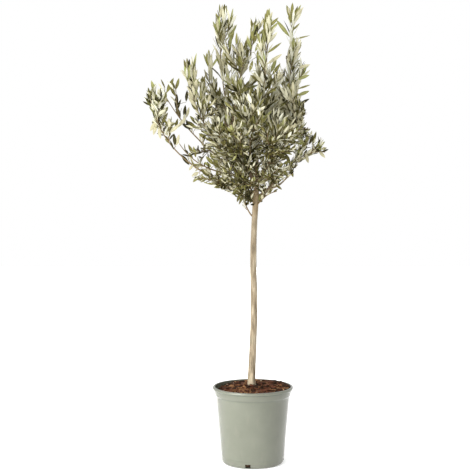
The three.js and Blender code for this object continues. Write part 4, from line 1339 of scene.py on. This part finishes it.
def make_twigs(materials):
    """Stems and forks with the first bark, twigs and spurs with the second"""
    shapes = []
    for axis in [axis for axis in wood.axes if axis.owner != LIMB_OWNER]:
        is_young = axis.kind in ("twig", "spur")
        shapes.append(tube(axis, YOUNG_SIDES if is_young else STEM_SIDES, TWIG_RING_STEP, int(is_young)))
    return joined("twigs", shapes, materials, sharp_angle=80)


def leaf_tints(number, blade):
    """Tints of a leaf's upper face and underside: its spray's, with darker and fresher leaves among them,
    and more dark ones near the crown's foot as painted shade
    """
    if blade.tint is not None:
        return min(blade.tint, FRESH), max(blade.tint, GREY)
    reach = (blade.base - CROWN_HEART).length
    outer = smoothstep(reach, *FRESH_REACH)
    spray = Chance(SPRAY_SEED + blade.spray * SPRAY_SEED_STEP)
    upper = min(FRESH, int(spray.next() * SPRAY_SPREAD + outer * FRESH_RISE))
    lower = min(SILVER, GREY + int(spray.next() * SPRAY_SPREAD + outer * PALE_RISE))
    chance = Chance(TINT_SEED + number * TINT_SEED_STEP)
    roll = chance.next()
    # Painted shade: more leaves get the dark tints near the crown's foot
    inner = smoothstep(FOOT_REACH - (blade.base - CROWN_FOOT).length, 0, FOOT_FADE)
    if roll < lerp(*DARK_SHARES, smoothstep(reach, *DARK_REACH)) + FOOT_SHADE_SHARE * inner:
        upper = min(upper, chance.pick((DEEP, DEEP, DARK)))
    elif roll < FRESHER_BELOW:
        upper = min(FRESH, upper + 1)
    if chance.next() < UNDERSIDE_CHANGE:
        lower = min(SILVER, max(GREY, lower + chance.pick((-1, 1))))
    return upper, lower


def make_leaves(blades, materials):
    """The leaves as three pieces: the lowest, those of the core and the long ones of the shoots"""
    faces = leaf_faces()
    names, tops = zip(*LEAF_PIECES)
    shapes = [[] for _ in names]
    for number, blade in enumerate(blades):
        piece = bisect_left(tops, blade.base.z)
        shapes[piece].append(leaf_shape(blade, faces, *leaf_tints(number, blade)))
    return [joined(name, leaves, materials, sharp_angle=75) for name, leaves in zip(names, shapes)]


# Materials

def tone(red, green, blue):
    """A colour given in screen values from 0 to 255, as the shader wants it"""
    colour = []
    for value in (red, green, blue):
        share = value / 255
        colour.append(share / 12.92 if share <= 0.04045 else ((share + 0.055) / 1.055) ** 2.4)
    return (*colour, 1)


def grey(share):
    return (share, share, share, 1)


class Finish:
    """A material with its shader and short ways to add patterns"""

    def __init__(self, name, roughness, gloss=0.5):
        self.material = bpy.data.materials.new(name)
        self.material.use_nodes = True
        self.tree = self.material.node_tree
        self.shader = self.tree.nodes["Principled BSDF"]
        self.give(self.shader.inputs["Roughness"], roughness)
        self.give(self.shader.inputs["Specular IOR Level"], gloss)

    def give(self, entry, value):
        """Links another node's output to an input, or sets a plain value on it"""
        if isinstance(value, bpy.types.NodeSocket):
            self.tree.links.new(value, entry)
        else:
            entry.default_value = value

    def add(self, kind, **inputs):
        node = self.tree.nodes.new(kind)
        for name, value in inputs.items():
            self.give(node.inputs[name.replace("_", " ")], value)
        return node

    def place(self, stretched=(1, 1, 1), source="Object"):
        coordinates = self.add("ShaderNodeTexCoord").outputs[source]
        return self.add("ShaderNodeMapping", Vector=coordinates, Scale=stretched).outputs["Vector"]

    def noise(self, scale, detail, stretched=(1, 1, 1), source="Object"):
        place = self.place(stretched, source)
        return self.add("ShaderNodeTexNoise", Vector=place, Scale=scale, Detail=detail).outputs["Fac"]

    def height(self, limits, depth=1):
        """How far a point has risen from one height to another in metres, times a depth"""
        parts = self.add("ShaderNodeSeparateXYZ", Vector=self.place())
        rise = self.add("ShaderNodeMapRange", Value=parts.outputs["Z"], From_Min=limits[0],
                        From_Max=limits[1], To_Max=depth)
        return rise.outputs["Result"]

    def ramp(self, share, *stops):
        ramp = self.add("ShaderNodeValToRGB", Fac=share)
        elements = ramp.color_ramp.elements
        while len(elements) < len(stops):
            elements.new(0.5)
        for element, (position, colour) in zip(elements, stops):
            element.position = position
            element.color = colour
        return ramp.outputs["Color"]

    def mix(self, first, second, share):
        mix = self.tree.nodes.new("ShaderNodeMix")
        mix.data_type = "RGBA"
        for entry, value in ((0, share), (6, first), (7, second)):
            self.give(mix.inputs[entry], value)
        return mix.outputs[2]

    def colour(self, colour):
        self.give(self.shader.inputs["Base Color"], colour)

    def rough(self, share, low, high):
        spread = self.add("ShaderNodeMapRange", Value=share, To_Min=low, To_Max=high)
        self.give(self.shader.inputs["Roughness"], spread.outputs["Result"])

    def bump(self, share, strength, distance):
        bump = self.add("ShaderNodeBump", Height=share, Strength=strength, Distance=distance)
        self.give(self.shader.inputs["Normal"], bump.outputs["Normal"])


def painted_shadows(finish):
    """Painted shadows on the pot: a dark line under the lip and a fainter one under the collar"""
    low, high = COLLAR_FOOT - SHADOW_DROP, LIP_FOOT + SHADOW_RISE
    levels = [
        (COLLAR_FOOT - 5, 0), (COLLAR_FOOT - 1, 0.3), (COLLAR_FOOT + 1, 0),
        (LIP_FOOT - 3.5, 0), (LIP_FOOT - 0.8, 0.75), (LIP_FOOT + 1, 0),
    ]
    stops = [((level - low) / (high - low), grey(shadow_depth)) for level, shadow_depth in levels]
    return finish.ramp(finish.height((low * MM, high * MM)), *stops)


def pot_plastic():
    finish = Finish("pot_plastic", 0.42)
    base = finish.ramp(finish.noise(9, 4), (0.3, tone(91, 93, 81)), (0.7, tone(99, 101, 89)))
    streaks = finish.noise(60, 6, (1, 1, 0.35))
    dust = finish.ramp(streaks, (0.58, grey(0)), (0.8, tone(110, 110, 110)))
    dusted = finish.mix(base, tone(120, 117, 103), dust)
    # Painted shadows under the lip and the collar, in a dark grey-green
    finish.colour(finish.mix(dusted, tone(66, 76, 66), painted_shadows(finish)))
    fine = finish.noise(420, 3)
    finish.rough(fine, 0.14, 0.2)
    finish.bump(fine, 0.05, 0.0004)
    return finish.material


def mulch_soil():
    finish = Finish("mulch_soil", 0.95, 0.1)
    crumbs = finish.noise(160, 6)
    finish.colour(finish.ramp(crumbs, (0.3, tone(24, 14, 8)), (0.7, tone(54, 36, 22))))
    finish.bump(crumbs, 0.8, 0.003)
    return finish.material


def chip_bark(name, dark, light):
    finish = Finish(name, 0.85, 0.15)
    grain = finish.noise(5, 5, (1, 6, 1), "UV")
    finish.colour(finish.ramp(grain, (0.32, tone(*dark)), (0.68, tone(*light))))
    finish.bump(finish.noise(260, 4), 0.5, 0.0012)
    return finish.material


def trunk_bark():
    """Streaked bark with paler patches and dark flecks, browner towards the fork, and darkened above it with
    painted shade where the wood runs into the crown
    """
    finish = Finish("trunk_bark", 0.8)
    streaks = finish.noise(150, 6, (1, 1, 0.13))
    base = finish.ramp(streaks, (0.28, tone(78, 64, 46)), (0.45, tone(124, 110, 87)),
                       (0.6, tone(148, 134, 111)), (0.78, tone(188, 176, 153)))
    patches = finish.ramp(finish.noise(22, 4), (0.45, grey(0)), (0.72, tone(150, 150, 150)))
    mottled = finish.mix(base, tone(140, 134, 112), patches)
    flecks = finish.ramp(finish.noise(330, 3, (1, 1, 0.55)), (0.58, grey(0)), (0.68, tone(160, 160, 160)))
    flecked = finish.mix(mottled, tone(98, 80, 54), flecks)
    warmed = finish.mix(flecked, tone(132, 110, 74), finish.height(WARMED_HEIGHT, 0.55))
    # Painted shade: dark brown over trunk and boughs where they run up into the crown
    finish.colour(finish.mix(warmed, tone(80, 60, 40), finish.height(SHADED_HEIGHT, 0.8)))
    finish.bump(streaks, 0.45, 0.0012)
    return finish.material


def scar_bark():
    finish = Finish("bud_scar", 0.9)
    finish.colour(finish.ramp(finish.noise(300, 4), (0.3, tone(58, 42, 28)), (0.7, tone(98, 76, 54))))
    return finish.material


def twig_bark(name, dark, light):
    finish = Finish(name, 0.8, 0.1)
    grain = finish.noise(180, 4, (1, 1, 0.4))
    base = finish.ramp(grain, (0.3, tone(*dark)), (0.7, tone(*light)))
    finish.colour(finish.mix(base, tone(112, 93, 65), finish.height(TWIG_SHADE, 0.85)))
    finish.bump(grain, 0.3, 0.0008)
    return finish.material


def leaf_skin(name, dark, light, midrib, roughness, gloss):
    """A leaf's face: a paler midrib on a skin that varies a little"""
    finish = Finish(name, roughness, gloss)
    base = finish.ramp(finish.noise(38, 4), (0.32, tone(*dark)), (0.68, tone(*light)))
    coordinates = finish.add("ShaderNodeTexCoord").outputs["UV"]
    across = finish.add("ShaderNodeSeparateXYZ", Vector=coordinates).outputs["X"]
    line = finish.ramp(across, (0.44, grey(0)), (0.49, grey(1)), (0.51, grey(1)), (0.56, grey(0)))
    finish.colour(finish.mix(base, tone(*midrib), line))
    finish.bump(finish.noise(500, 3), 0.15, 0.0004)
    return finish.material


# Camera, floor and light

def aimed(name, data, place, target):
    """A camera or light at a place, turned to face a target"""
    thing = bpy.data.objects.new(name, data)
    thing.location = place
    thing.rotation_euler = (Vector(target) - Vector(place)).to_track_quat("-Z", "Y").to_euler()
    bpy.context.scene.collection.objects.link(thing)
    return thing


def make_camera():
    data = bpy.data.cameras.new("photo_camera")
    data.lens = CAMERA_LENS
    data.sensor_width = CAMERA_SENSOR
    bpy.context.scene.camera = aimed("photo_camera", data, CAMERA_PLACE, CAMERA_AIM)


def make_floor():
    bm = bmesh.new()
    bmesh.ops.create_grid(bm, x_segments=8, y_segments=8, size=6)
    finish = Finish("pale_floor", 0.9)
    finish.colour(finish.ramp(finish.noise(3, 2), (0.3, grey(0.97)), (0.7, grey(0.98))))
    finish.give(finish.shader.inputs["Emission Color"], grey(1))
    finish.give(finish.shader.inputs["Emission Strength"], 0.3)
    finished(bm, "floor", [finish.material])


def make_light(name, kind, place, target, energy, **settings):
    data = bpy.data.lights.new(name, kind)
    data.energy = energy
    for key, value in settings.items():
        setattr(data, key, value)
    aimed(name, data, place, target)


def make_lights():
    scene = bpy.context.scene
    scene.world = bpy.data.worlds.new("studio")
    scene.world.use_nodes = True
    background = scene.world.node_tree.nodes["Background"]
    background.inputs["Color"].default_value = grey(1)
    background.inputs["Strength"].default_value = 1
    make_light("key_sun", "SUN", (-2.5, -2.5, 3.4), CROWN_AIM, 2.5, angle=math.radians(60))
    make_light("left_softbox", "AREA", (-1.9, -2.3, 0.9), CROWN_AIM, 38, size=1.8)
    make_light("pot_softbox", "AREA", (-1.4, -1.3, 0.12), POT_AIM, 0.9, size=0.5, spread=math.radians(18))
    scene.view_settings.view_transform = "Standard"
    scene.view_settings.look = "None"


make_camera()
make_lights()
make_floor()

limb_curves, bough_axes = grow_limbs()
grow_masses(limb_curves)
leaf_blades = grow_leaves()

pot_piece = make_pot(pot_plastic())
bed_piece = make_mulch_bed(mulch_soil())
chip_piece = make_chips([chip_bark(*row) for row in CHIP_BARKS])
bark_piece = make_bark(bough_axes, [trunk_bark(), scar_bark()])
twig_piece = make_twigs([twig_bark(*row) for row in TWIG_BARKS])
leaf_pieces = make_leaves(leaf_blades, [leaf_skin(*row) for row in LEAF_SKINS])

for slot, pieces in [
    ("pot", [pot_piece]),
    ("mulch", [bed_piece, chip_piece]),
    ("bark", [bark_piece, twig_piece]),
    ("leaves", leaf_pieces),
]:
    for piece in pieces:
        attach(piece, "root")
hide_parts("pot")
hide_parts("mulch")
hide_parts("trunk", *[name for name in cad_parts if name.startswith("bough_")])
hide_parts(*[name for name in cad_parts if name.startswith("leaves_")])
